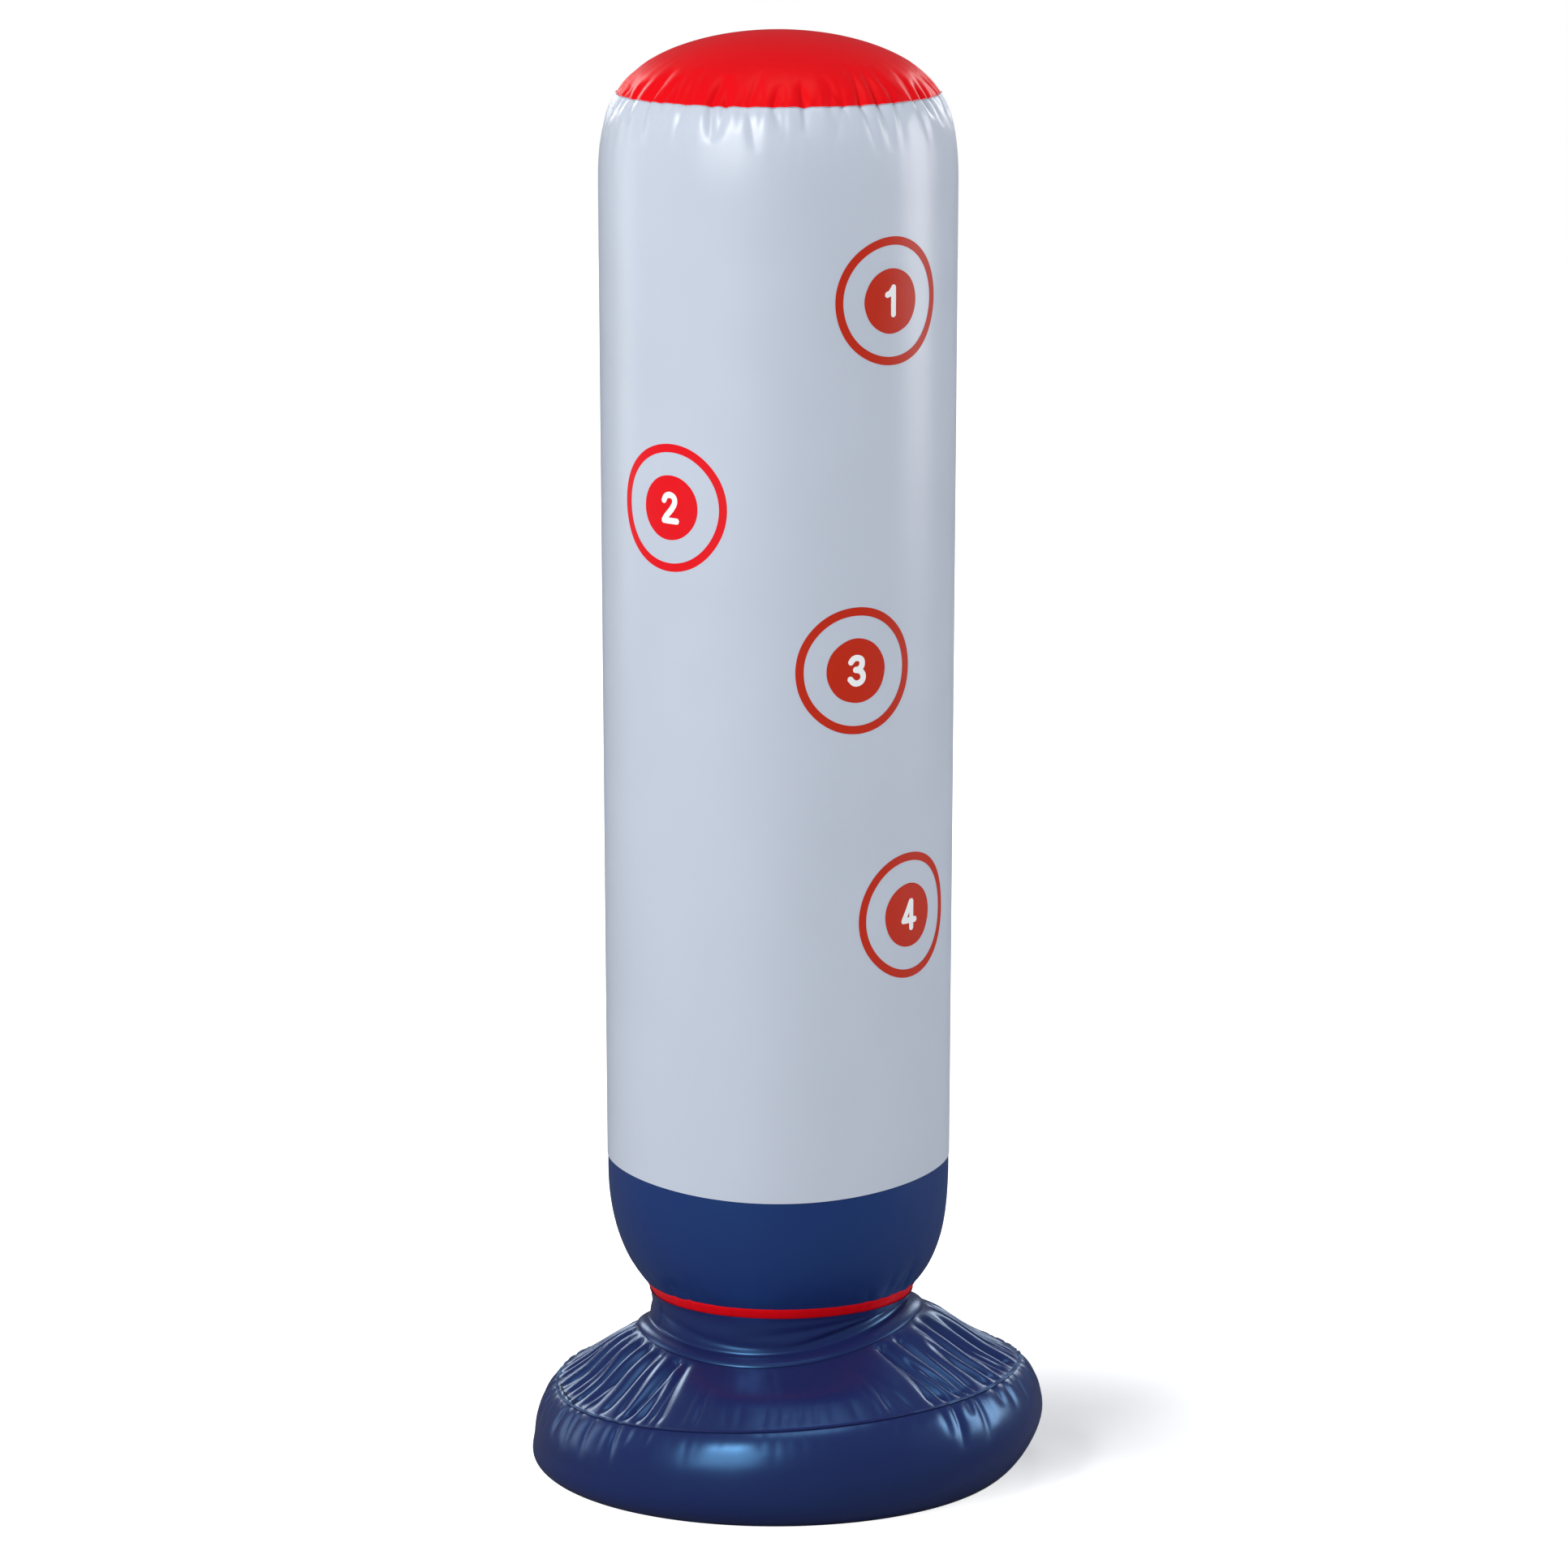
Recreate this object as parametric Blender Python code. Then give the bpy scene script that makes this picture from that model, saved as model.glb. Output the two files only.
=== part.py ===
"""Inflatable punching toy: an air-filled column on a soft neck above a water-filled base.

Each panel is a vinyl film welded to its neighbours, and is modelled as a thin closed solid of revolution.
A panel is drawn as a path of (radius, height) points down its outer face, from the apex to the floor.
Metres, +Z up, the floor at height 0, the struck front towards -Y and both valves at the back.
"""

import math

import bmesh
import bpy
from mathutils import Matrix, Vector

# Film and welds
FILM = 0.0003
WELD_GAP = 0.0003
LAP = 0.008
SEAM_FIN = 0.003
SEAM_LEAN = math.radians(42)
END_PANEL_TURN = math.radians(75)
ROUNDING = 0.55

# Base: the floor pouch that holds the water
BASE_RADIUS = 0.2123
BASE_BULGE_HEIGHT = 0.041
BASE_FOOT_INSET = 0.035
BASE_SEAM_INSET = 0.0193
BASE_SEAM_HEIGHT = 0.085
BASE_TOP_RISE = 0.043
PLEATS = 24
PLEAT_DEPTH = 0.0022
PLEAT_VARIATION = 0.5
PLEAT_GROUPS = 5
WATER_CLEARANCE = 0.005

# Neck
NECK_RADIUS = 0.1073
NECK_HEIGHT = 0.023
NECK_FOOT = 0.011
NECK_FOOT_DROP = 0.002

# Column: floor, skirt, wall and top, from the bottom up
FLOOR_LIP = 0.0057
FLOOR_SAG = 0.058
SKIRT_HEIGHT = 0.099
COLUMN_RADIUS = 0.1422
COLUMN_FLARE = 0.0042
WALL_HEIGHT = 0.889
SHOULDER_HEIGHT = 0.071
TOP_SEAM_INSET = 0.0152
TOP_RISE = 0.0495

# Air valve, on the back of the column wall
AIR_VALVE_RISE = 0.13
AIR_BORE = 0.0043
AIR_TUBE_WALL = 0.0019
AIR_TUBE_LENGTH = 0.017
AIR_RIM_WIDTH = 0.0023
AIR_FLANGE_WIDTH = 0.0083
AIR_FLANGE_THICKNESS = 0.0008
AIR_PIN_LENGTH = 0.008
DIAPHRAGM_THICKNESS = 0.0006
DIAPHRAGM_DEPTH = 0.008
DIAPHRAGM_LAP = 0.0025
FLAP_THICKNESS = 0.0006

# Water filler, on the back of the base's top panel
FILLER_EDGE = 0.012
FILLER_BORE = 0.0113
FILLER_TUBE_WALL = 0.002
FILLER_TUBE_LENGTH = 0.018
FILLER_RIM_WIDTH = 0.0022
FILLER_FLANGE_WIDTH = 0.005
FILLER_FLANGE_THICKNESS = 0.001
FILLER_PIN_LENGTH = 0.008

# What both valves share
VALVE_RIM_HEIGHT = 0.0018
VALVE_HEAD_HEIGHT = 0.0024
VALVE_HEAD_ROUND = 0.0008
VALVE_HEAD_OVERHANG = 0.0008
VALVE_HOLE_GAP = 0.0012
PIN_CLEARANCE = 0.0003
PIN_TAPER = 0.0003
STRAP_WIDTH = 0.0055
STRAP_THICKNESS = 0.001
STRAP_REACH = 0.009

# Facets
SEGMENTS = 48
END_PANEL_STEPS = 6
SWELL_STEPS = 5
SLOPE_STEPS = 4
FACETS_PER_PLEAT = 4
VALVE_SEGMENTS = 20
STRAP_BEND_STEPS = 6
SHARP_ANGLE = math.radians(35)
SAME_POINT = 1e-6

# Colours, linear, and roughness
RED = (0.76, 0.005, 0.012)
WHITE = (0.56, 0.61, 0.70)
SKIRT_BLUE = (0.016, 0.034, 0.127)
BASE_BLUE = (0.016, 0.027, 0.100)
VALVE_WHITE = (0.62, 0.65, 0.68)
WATER = (0.55, 0.70, 0.74)
VINYL_ROUGHNESS = 0.25
VALVE_ROUGHNESS = 0.35
WATER_ROUGHNESS = 0.05


def end_panel(rim_radius, depth, radius):
    """How far an inflated end panel stands out beyond its rim, at a radius."""
    edge = math.cos(END_PANEL_TURN)
    turn = math.asin(radius / rim_radius * math.sin(END_PANEL_TURN))
    return depth * (math.cos(turn) - edge) / (1 - edge)


# Base and neck places that follow from the sizes above
FILM_STEP = FILM + WELD_GAP
HALF_SEAM = FILM + WELD_GAP / 2
BASE_SEAM_RADIUS = BASE_RADIUS - BASE_SEAM_INSET
BASE_FOOT_RADIUS = BASE_RADIUS - BASE_FOOT_INSET
NECK_FOOT_HEIGHT = BASE_SEAM_HEIGHT + BASE_TOP_RISE
NECK_FOOT_RADIUS = NECK_RADIUS + NECK_FOOT
NECK_TOP_HEIGHT = NECK_FOOT_HEIGHT + NECK_HEIGHT
SWAY_HEIGHT = NECK_FOOT_HEIGHT + NECK_HEIGHT / 2
TOP_SLOPE = math.atan2(BASE_TOP_RISE - NECK_FOOT_DROP - HALF_SEAM, BASE_SEAM_RADIUS - NECK_FOOT_RADIUS)

# Column places: the floor meets the neck at the neck's radius, which sets how high its rim stands
FLOOR_RADIUS = NECK_RADIUS + FLOOR_LIP
FLOOR_HEIGHT = NECK_TOP_HEIGHT + WELD_GAP + end_panel(FLOOR_RADIUS, FLOOR_SAG, NECK_RADIUS)
WALL_FOOT_HEIGHT = FLOOR_HEIGHT + SKIRT_HEIGHT
TOP_SEAM_HEIGHT = WALL_FOOT_HEIGHT + WALL_HEIGHT
COLUMN_HEAD_RADIUS = COLUMN_RADIUS + COLUMN_FLARE
TOP_SEAM_RADIUS = COLUMN_HEAD_RADIUS - TOP_SEAM_INSET

# Air valve places
AIR_TUBE = AIR_BORE + AIR_TUBE_WALL
AIR_RIM = AIR_TUBE + AIR_RIM_WIDTH
AIR_HOLE = AIR_RIM + VALVE_HOLE_GAP
AIR_FLANGE = AIR_HOLE + AIR_FLANGE_WIDTH
AIR_VALVE_HEIGHT = WALL_FOOT_HEIGHT + AIR_VALVE_RISE
AIR_VALVE_RADIUS = COLUMN_RADIUS + COLUMN_FLARE * AIR_VALVE_RISE / (WALL_HEIGHT - SHOULDER_HEIGHT)

# Filler places: its flat flange lies under a cone, so it sits deeper by the cone's sag across it
FILLER_TUBE = FILLER_BORE + FILLER_TUBE_WALL
FILLER_RIM = FILLER_TUBE + FILLER_RIM_WIDTH
FILLER_FLANGE = FILLER_RIM + FILLER_FLANGE_WIDTH
FILLER_INSET = FILLER_EDGE + FILLER_FLANGE * math.cos(TOP_SLOPE)
FILLER_RADIUS = BASE_SEAM_RADIUS - FILLER_INSET
FILLER_HEIGHT = BASE_SEAM_HEIGHT + HALF_SEAM + FILLER_INSET * math.tan(TOP_SLOPE)
FILLER_SAG = FILLER_FLANGE ** 2 * math.sin(TOP_SLOPE) / (2 * FILLER_RADIUS)
FILLER_SEAT = -FILM_STEP - FILLER_SAG

# The water stands just below the filler's inner end
FILLER_REACH = FILLER_TUBE_LENGTH * math.cos(TOP_SLOPE) + FILLER_TUBE * math.sin(TOP_SLOPE)
WATER_LEVEL = FILLER_HEIGHT - FILLER_REACH - WATER_CLEARANCE


# Paths of (radius, height) points

def bezier(start, first, second, end, count):
    """Points along a cubic curve, without its start."""
    points = []
    for i in range(1, count + 1):
        t = i / count
        weights = ((1 - t) ** 3, 3 * t * (1 - t) ** 2, 3 * t * t * (1 - t), t ** 3)
        corners = (start, first, second, end)
        points.append(tuple(sum(w * c[k] for w, c in zip(weights, corners)) for k in (0, 1)))
    return points


def swell(seam, belly):
    """A film's curve from a pinched weld to where it stands upright, without its start."""
    out = ROUNDING * (belly[0] - seam[0])
    along = math.copysign(out / math.tan(SEAM_LEAN), belly[1] - seam[1])
    first = (seam[0] + out, seam[1] + along)
    second = (belly[0], belly[1] + ROUNDING * (seam[1] - belly[1]))
    return bezier(seam, first, second, belly, SWELL_STEPS)


def dome(rim, depth):
    """An inflated end panel from its middle to its rim, above the rim, or below it for a depth under 0."""
    points = []
    for i in range(END_PANEL_STEPS + 1):
        turn = END_PANEL_TURN * i / END_PANEL_STEPS
        radius = rim[0] * math.sin(turn) / math.sin(END_PANEL_TURN)
        points.append((radius, rim[1] + end_panel(rim[0], depth, radius)))
    return points


def offset(path, distance):
    """The path moved along its outward normals, with mitred corners. A point on the axis stays on it."""
    directions = [(Vector(b) - Vector(a)).normalized() for a, b in zip(path, path[1:])]
    faces = [Vector((-d.y, d.x)) for d in directions]
    moved = []
    for i, point in enumerate(path):
        before, after = faces[max(i - 1, 0)], faces[min(i, len(faces) - 1)]
        middle = (before + after).normalized()
        place = Vector(point) + middle * (distance / middle.dot(after))
        moved.append((place.x if point[0] > 0 else 0.0, place.y))
    return moved


def film(path, thickness=FILM):
    """The outline of a film whose outer face is the path."""
    return path + offset(path, -thickness)[::-1]


def tail(path, length):
    """The last stretch of a path, of that length."""
    kept = [path[-1]]
    for point, after in zip(path[-2::-1], path[:0:-1]):
        step = math.dist(point, after)
        if step >= length:
            share = length / step
            kept.append(tuple(a + (p - a) * share for p, a in zip(point, after)))
            break
        kept.append(point)
        length -= step
    return kept[::-1]


def lap_under(path):
    """Where the next panel's welded edge lies, inside the last stretch of this one."""
    return offset(tail(path, LAP), -FILM_STEP)


def below(path, height):
    """The part of a falling path that lies under a height, starting at that height."""
    kept = []
    for point, after in zip(path, path[1:]):
        if after[1] >= height:
            continue
        if not kept:
            share = (height - point[1]) / (after[1] - point[1])
            kept.append((point[0] + (after[0] - point[0]) * share, height))
        kept.append(after)
    return kept


# The panels' outer faces

def base_side_path():
    """The lower half of the weld fin, the crowned side, then the edge welded on the bottom panel."""
    seam = (BASE_SEAM_RADIUS, BASE_SEAM_HEIGHT - HALF_SEAM)
    belly = (BASE_RADIUS, BASE_BULGE_HEIGHT)
    foot = (BASE_FOOT_RADIUS, FILM_STEP)
    first = (BASE_RADIUS, BASE_BULGE_HEIGHT + ROUNDING * (FILM_STEP - BASE_BULGE_HEIGHT))
    second = (BASE_FOOT_RADIUS + ROUNDING * BASE_FOOT_INSET, FILM_STEP)
    fin = [(BASE_SEAM_RADIUS + SEAM_FIN, seam[1]), seam]
    edge = (BASE_FOOT_RADIUS - LAP, FILM_STEP)
    return fin + swell(seam, belly) + bezier(belly, first, second, foot, SWELL_STEPS) + [edge]


def base_top_path():
    """The ring under the neck's foot, the slope, then its half of the weld fin."""
    seam = BASE_SEAM_HEIGHT + HALF_SEAM
    ring = [(NECK_RADIUS, NECK_FOOT_HEIGHT), (NECK_FOOT_RADIUS, NECK_FOOT_HEIGHT - NECK_FOOT_DROP)]
    slope = []
    for i in range(1, SLOPE_STEPS + 1):
        share = i / SLOPE_STEPS
        radius = NECK_FOOT_RADIUS + (BASE_SEAM_RADIUS - NECK_FOOT_RADIUS) * share
        slope.append((radius, ring[1][1] + (seam - ring[1][1]) * share))
    return ring + slope + [(BASE_SEAM_RADIUS + SEAM_FIN, seam)]


def neck_path():
    """The edge welded under the column's floor, the sleeve, then the foot that lies on the base's top."""
    rim_radius, rim_height = lap_under(skirt_path())[-1]
    edge = []
    for radius in (NECK_RADIUS - LAP, NECK_RADIUS - LAP / 2, NECK_RADIUS):
        edge.append((radius, rim_height - end_panel(rim_radius, FLOOR_SAG, radius)))
    edge = offset(edge, -WELD_GAP)
    edge[-1] = (NECK_RADIUS, NECK_TOP_HEIGHT)
    crease = (NECK_RADIUS, NECK_FOOT_HEIGHT + FILM_STEP)
    foot = (NECK_FOOT_RADIUS, NECK_FOOT_HEIGHT + FILM_STEP - NECK_FOOT_DROP)
    return edge + [crease, foot]


def floor_path():
    """The edge under the skirt, then the domed end that hangs into the neck."""
    edge = lap_under(skirt_path())
    return edge[:-1] + dome(edge[-1], -FLOOR_SAG)[::-1]


def skirt_path():
    """The edge under the wall, then the taper to the column's floor."""
    edge = lap_under(wall_path())
    taper = swell((FLOOR_RADIUS, FLOOR_HEIGHT), edge[-1])
    return edge + taper[-2::-1] + [(FLOOR_RADIUS, FLOOR_HEIGHT)]


def wall_path():
    """The lower half of the top weld fin, the shoulder, then the wall, a little narrower at its foot."""
    seam = (TOP_SEAM_RADIUS, TOP_SEAM_HEIGHT - HALF_SEAM)
    shoulder = swell(seam, (COLUMN_HEAD_RADIUS, seam[1] - SHOULDER_HEIGHT))
    return [(TOP_SEAM_RADIUS + SEAM_FIN, seam[1]), seam] + shoulder + [(COLUMN_RADIUS, WALL_FOOT_HEIGHT)]


def top_path():
    """The domed end, then its half of the weld fin."""
    seam = TOP_SEAM_HEIGHT + HALF_SEAM
    return dome((TOP_SEAM_RADIUS, seam), TOP_RISE) + [(TOP_SEAM_RADIUS + SEAM_FIN, seam)]


# Objects

def material(name, colour, roughness):
    made = bpy.data.materials.new(name)
    made.use_nodes = True
    shader = made.node_tree.nodes["Principled BSDF"]
    shader.inputs["Base Color"].default_value = (*colour, 1)
    shader.inputs["Roughness"].default_value = roughness
    shader.inputs["Metallic"].default_value = 0
    made.diffuse_color = (*colour, 1)
    return made


def empty(name, place, parent=None):
    """A carrier at a world placement. What it carries is modelled in its frame."""
    made = bpy.data.objects.new(name, None)
    bpy.context.scene.collection.objects.link(made)
    made.parent = parent
    bpy.context.view_layer.update()
    made.matrix_world = place
    bpy.context.view_layer.update()
    return made


def add(name, shape, finish, carrier):
    """A finished bmesh as a named object on its carrier, in the carrier's frame."""
    bmesh.ops.recalc_face_normals(shape, faces=shape.faces)
    mesh = bpy.data.meshes.new(name)
    shape.to_mesh(mesh)
    shape.free()
    mesh.shade_smooth()
    mesh.set_sharp_from_angle(angle=SHARP_ANGLE)
    mesh.materials.append(finish)
    made = bpy.data.objects.new(name, mesh)
    bpy.context.scene.collection.objects.link(made)
    made.parent = carrier
    return made


def turned(outline, segments, is_sheet=False):
    """An outline spun round Z. It is closed, unless it starts and ends on the axis or makes an open sheet."""
    shape = bmesh.new()
    points = [shape.verts.new((radius, 0, height)) for radius, height in outline]
    pairs = list(zip(points, points[1:]))
    if outline[0][0] > 0 and not is_sheet:
        pairs.append((points[-1], points[0]))
    edges = [shape.edges.new(pair) for pair in pairs]
    bmesh.ops.spin(shape, geom=points + edges, cent=(0, 0, 0), axis=(0, 0, 1),
                   angle=math.tau, steps=segments, use_merge=True)
    bmesh.ops.remove_doubles(shape, verts=shape.verts, dist=SAME_POINT)
    return shape


def panel(name, path, finish, carrier):
    """A welded film panel of the skin. Its path is in world heights, and its carrier stands on the axis."""
    outline = film(path)
    if path[-1][0] == 0:
        outline = outline[len(path):] + outline[:len(path)]
    shape = turned(outline, SEGMENTS)
    bmesh.ops.translate(shape, verts=shape.verts, vec=-carrier.matrix_world.translation)
    return add(name, shape, finish, carrier)


def cut_round_hole(body, carrier, radius, depth):
    """A round hole through a film, along the carrier's Z. Its corners are kept off the film's facet edges."""
    shape = bmesh.new()
    half_facet = Matrix.Rotation(math.pi / VALVE_SEGMENTS, 4, "Z")
    bmesh.ops.create_cone(shape, cap_ends=True, segments=VALVE_SEGMENTS, radius1=radius, radius2=radius,
                          depth=2 * depth, matrix=half_facet)
    cutter = add(body.name + "_hole", shape, None, carrier)
    cutter.hide_render = True
    cutter.display_type = "WIRE"
    cut = body.modifiers.new("valve_hole", "BOOLEAN")
    cut.operation = "DIFFERENCE"
    cut.object = cutter


def plug(name, bore, head, pin_length, finish, carrier):
    """A stopper: a round-edged head over a tapered pin."""
    bottom = VALVE_RIM_HEIGHT + WELD_GAP
    top = bottom + VALVE_HEAD_HEIGHT
    pin = bore - PIN_CLEARANCE
    outline = [(0, top), (head - VALVE_HEAD_ROUND, top), (head, top - VALVE_HEAD_ROUND), (head, bottom),
               (pin, bottom), (pin - PIN_TAPER, -pin_length), (0, -pin_length)]
    return add(name, turned(outline, VALVE_SEGMENTS), finish, carrier)


def strap(name, rim, head, finish, carrier):
    """The tether: a flat band from the valve's rim, out and round, to the plug's head."""
    low = (VALVE_RIM_HEIGHT - STRAP_THICKNESS) / 2
    high = VALVE_RIM_HEIGHT + WELD_GAP + (VALVE_HEAD_HEIGHT + STRAP_THICKNESS) / 2
    outer = (high - low) / 2
    inner = outer - STRAP_THICKNESS
    bend = (rim + STRAP_REACH - outer, (low + high) / 2)

    def arc(radius):
        turns = [math.pi * (i / STRAP_BEND_STEPS - 0.5) for i in range(STRAP_BEND_STEPS + 1)]
        return [(bend[0] + radius * math.cos(a), bend[1] + radius * math.sin(a)) for a in turns]

    root, tip = rim + WELD_GAP, head + WELD_GAP
    outline = [(root, low)] + arc(outer) + [(tip, high), (tip, high - STRAP_THICKNESS)]
    outline += arc(inner)[::-1] + [(root, low + STRAP_THICKNESS)]
    shape = bmesh.new()
    face = shape.faces.new([shape.verts.new((-STRAP_WIDTH / 2, y, z)) for y, z in outline])
    grown = bmesh.ops.extrude_face_region(shape, geom=[face])["geom"]
    moved = [item for item in grown if isinstance(item, bmesh.types.BMVert)]
    bmesh.ops.translate(shape, verts=moved, vec=(STRAP_WIDTH, 0, 0))
    return add(name, shape, finish, carrier)


# The base

def pleat(shape, filler):
    """Draws the base's slope into radial pleats. They fade out at both welds and round the filler."""
    clear = FILLER_FLANGE + LAP
    for vertex in shape.verts:
        radius = math.hypot(vertex.co.x, vertex.co.y)
        along = (radius - NECK_FOOT_RADIUS) / (BASE_SEAM_RADIUS - NECK_FOOT_RADIUS)
        if not 0 < along < 1:
            continue
        away = (vertex.co - filler.matrix_world.translation).length
        fade = min(1, max(0, away / clear - 1))
        angle = math.atan2(vertex.co.y, vertex.co.x)
        depth = PLEAT_DEPTH * (1 - PLEAT_VARIATION * math.cos(PLEAT_GROUPS * angle) ** 2)
        vertex.co.z += depth * math.cos(PLEATS * angle) * fade * math.sin(math.pi * along)


def thicken(sheet):
    """Gives a sheet the film's thickness below its outer face, with like facets on both faces."""
    bmesh.ops.triangulate(sheet, faces=sheet.faces)
    bmesh.ops.solidify(sheet, geom=sheet.faces, thickness=FILM)


def build_base(ground, filler, blue, water):
    bottom = [(0, FILM), (BASE_FOOT_RADIUS, FILM), (BASE_FOOT_RADIUS, 0), (0, 0)]
    add("base_bottom_panel", turned(bottom, SEGMENTS), blue, ground)
    panel("base_side_panel", base_side_path(), blue, ground)
    slope = turned(base_top_path(), PLEATS * FACETS_PER_PLEAT, is_sheet=True)
    pleat(slope, filler)
    thicken(slope)
    top_panel = add("base_top_panel", slope, blue, ground)
    cut_round_hole(top_panel, filler, FILLER_RIM + VALVE_HOLE_GAP, FILLER_RIM)
    bed = 2 * FILM_STEP
    side = [point for point in below(offset(base_side_path(), -FILM_STEP), WATER_LEVEL) if point[1] > bed]
    pool = [(0, WATER_LEVEL)] + side + [(BASE_FOOT_RADIUS, bed), (0, bed)]
    add("water_ballast", turned(pool, SEGMENTS), water, ground)


def build_filler(filler, valve):
    back = FILLER_SEAT - FILLER_FLANGE_THICKNESS
    socket = [(FILLER_BORE, VALVE_RIM_HEIGHT), (FILLER_RIM, VALVE_RIM_HEIGHT), (FILLER_RIM, FILLER_SEAT),
              (FILLER_FLANGE, FILLER_SEAT), (FILLER_FLANGE, back), (FILLER_TUBE, back),
              (FILLER_TUBE, -FILLER_TUBE_LENGTH), (FILLER_BORE, -FILLER_TUBE_LENGTH)]
    head = FILLER_RIM + VALVE_HEAD_OVERHANG
    add("filler_socket", turned(socket, VALVE_SEGMENTS), valve, filler)
    plug("filler_plug", FILLER_BORE, head, FILLER_PIN_LENGTH, valve, filler)
    strap("filler_strap", FILLER_RIM, head, valve, filler)


# The column and its neck

def build_column(sway, base_blue, skirt_blue, white, red):
    panel("neck_sleeve", neck_path(), base_blue, sway)
    panel("column_floor", floor_path(), red, sway)
    panel("column_skirt", skirt_path(), skirt_blue, sway)
    panel("top_panel", top_path(), red, sway)
    return panel("column_wall", wall_path(), white, sway)


# The air valve

def wrapped_ring(outer, inner, bend, depth, thickness):
    """A flat ring bent round a cylinder of radius bend, whose crown lies at height -depth."""
    shape = bmesh.new()
    rings = []
    for radius, level in ((inner, 0), (outer, 0), (outer, thickness), (inner, thickness)):
        ring = []
        for i in range(VALVE_SEGMENTS):
            angle = math.tau * i / VALVE_SEGMENTS
            x, y = radius * math.cos(angle), radius * math.sin(angle)
            drop = bend - math.sqrt(bend * bend - x * x)
            ring.append(shape.verts.new((x, y, -depth - drop - level)))
        rings.append(ring)
    for ring, following in zip(rings, rings[1:] + rings[:1]):
        for i in range(VALVE_SEGMENTS):
            j = (i + 1) % VALVE_SEGMENTS
            shape.faces.new((ring[i], ring[j], following[j], following[i]))
    return shape


def build_air_valve(wall, valve_axis, valve):
    cut_round_hole(wall, valve_axis, AIR_HOLE, AIR_RIM)
    bend = (AIR_VALVE_RADIUS - FILM) * math.cos(math.pi / SEGMENTS) - WELD_GAP
    depth = AIR_VALVE_RADIUS - bend
    flange = wrapped_ring(AIR_FLANGE, AIR_HOLE, bend, depth, AIR_FLANGE_THICKNESS)
    add("air_valve_flange", flange, valve, valve_axis)

    reach = AIR_HOLE + DIAPHRAGM_LAP
    sag = bend - math.sqrt(bend * bend - reach * reach)
    seat = -depth - AIR_FLANGE_THICKNESS - sag - WELD_GAP
    skin = [(AIR_TUBE + WELD_GAP, seat - DIAPHRAGM_DEPTH), (AIR_HOLE, seat), (reach, seat)]
    add("air_valve_diaphragm", turned(film(skin, DIAPHRAGM_THICKNESS), VALVE_SEGMENTS), valve, valve_axis)

    stem = [(AIR_BORE, VALVE_RIM_HEIGHT), (AIR_RIM, VALVE_RIM_HEIGHT), (AIR_RIM, 0), (AIR_TUBE, 0),
            (AIR_TUBE, -AIR_TUBE_LENGTH), (AIR_BORE, -AIR_TUBE_LENGTH)]
    head = AIR_RIM + VALVE_HEAD_OVERHANG
    add("air_valve_stem", turned(stem, VALVE_SEGMENTS), valve, valve_axis)
    plug("air_valve_plug", AIR_BORE, head, AIR_PIN_LENGTH, valve, valve_axis)
    strap("air_valve_strap", AIR_RIM, head, valve, valve_axis)

    hinge = valve_axis.matrix_world @ Matrix.Translation((0, -AIR_TUBE, -AIR_TUBE_LENGTH - WELD_GAP))
    flap_hinge = empty("flap_hinge", hinge, valve_axis)
    flap = turned([(0, 0), (AIR_TUBE, 0), (AIR_TUBE, -FLAP_THICKNESS), (0, -FLAP_THICKNESS)], VALVE_SEGMENTS)
    bmesh.ops.translate(flap, verts=flap.verts, vec=(0, AIR_TUBE, 0))
    add("air_valve_flap", flap, valve, flap_hinge)


def main():
    for old in list(bpy.data.objects):
        bpy.data.objects.remove(old)
    red = material("red_vinyl", RED, VINYL_ROUGHNESS)
    white = material("white_vinyl", WHITE, VINYL_ROUGHNESS)
    skirt_blue = material("skirt_blue_vinyl", SKIRT_BLUE, VINYL_ROUGHNESS)
    base_blue = material("base_blue_vinyl", BASE_BLUE, VINYL_ROUGHNESS)
    valve = material("valve_vinyl", VALVE_WHITE, VALVE_ROUGHNESS)
    water = material("water", WATER, WATER_ROUGHNESS)

    ground = empty("ground", Matrix.Identity(4))
    filler_place = Matrix.Translation((0, FILLER_RADIUS, FILLER_HEIGHT))
    filler = empty("filler_axis", filler_place @ Matrix.Rotation(-TOP_SLOPE, 4, "X"), ground)
    build_base(ground, filler, base_blue, water)
    build_filler(filler, valve)

    sway = empty("sway_pivot", Matrix.Translation((0, 0, SWAY_HEIGHT)), ground)
    wall = build_column(sway, base_blue, skirt_blue, white, red)
    valve_place = Matrix.Translation((0, AIR_VALVE_RADIUS, AIR_VALVE_HEIGHT))
    air_valve = empty("air_valve_axis", valve_place @ Matrix.Rotation(-math.pi / 2, 4, "X"), sway)
    build_air_valve(wall, air_valve, valve)


main()
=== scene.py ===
import math

import bpy
import numpy as np
from mathutils import Matrix, Vector


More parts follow.
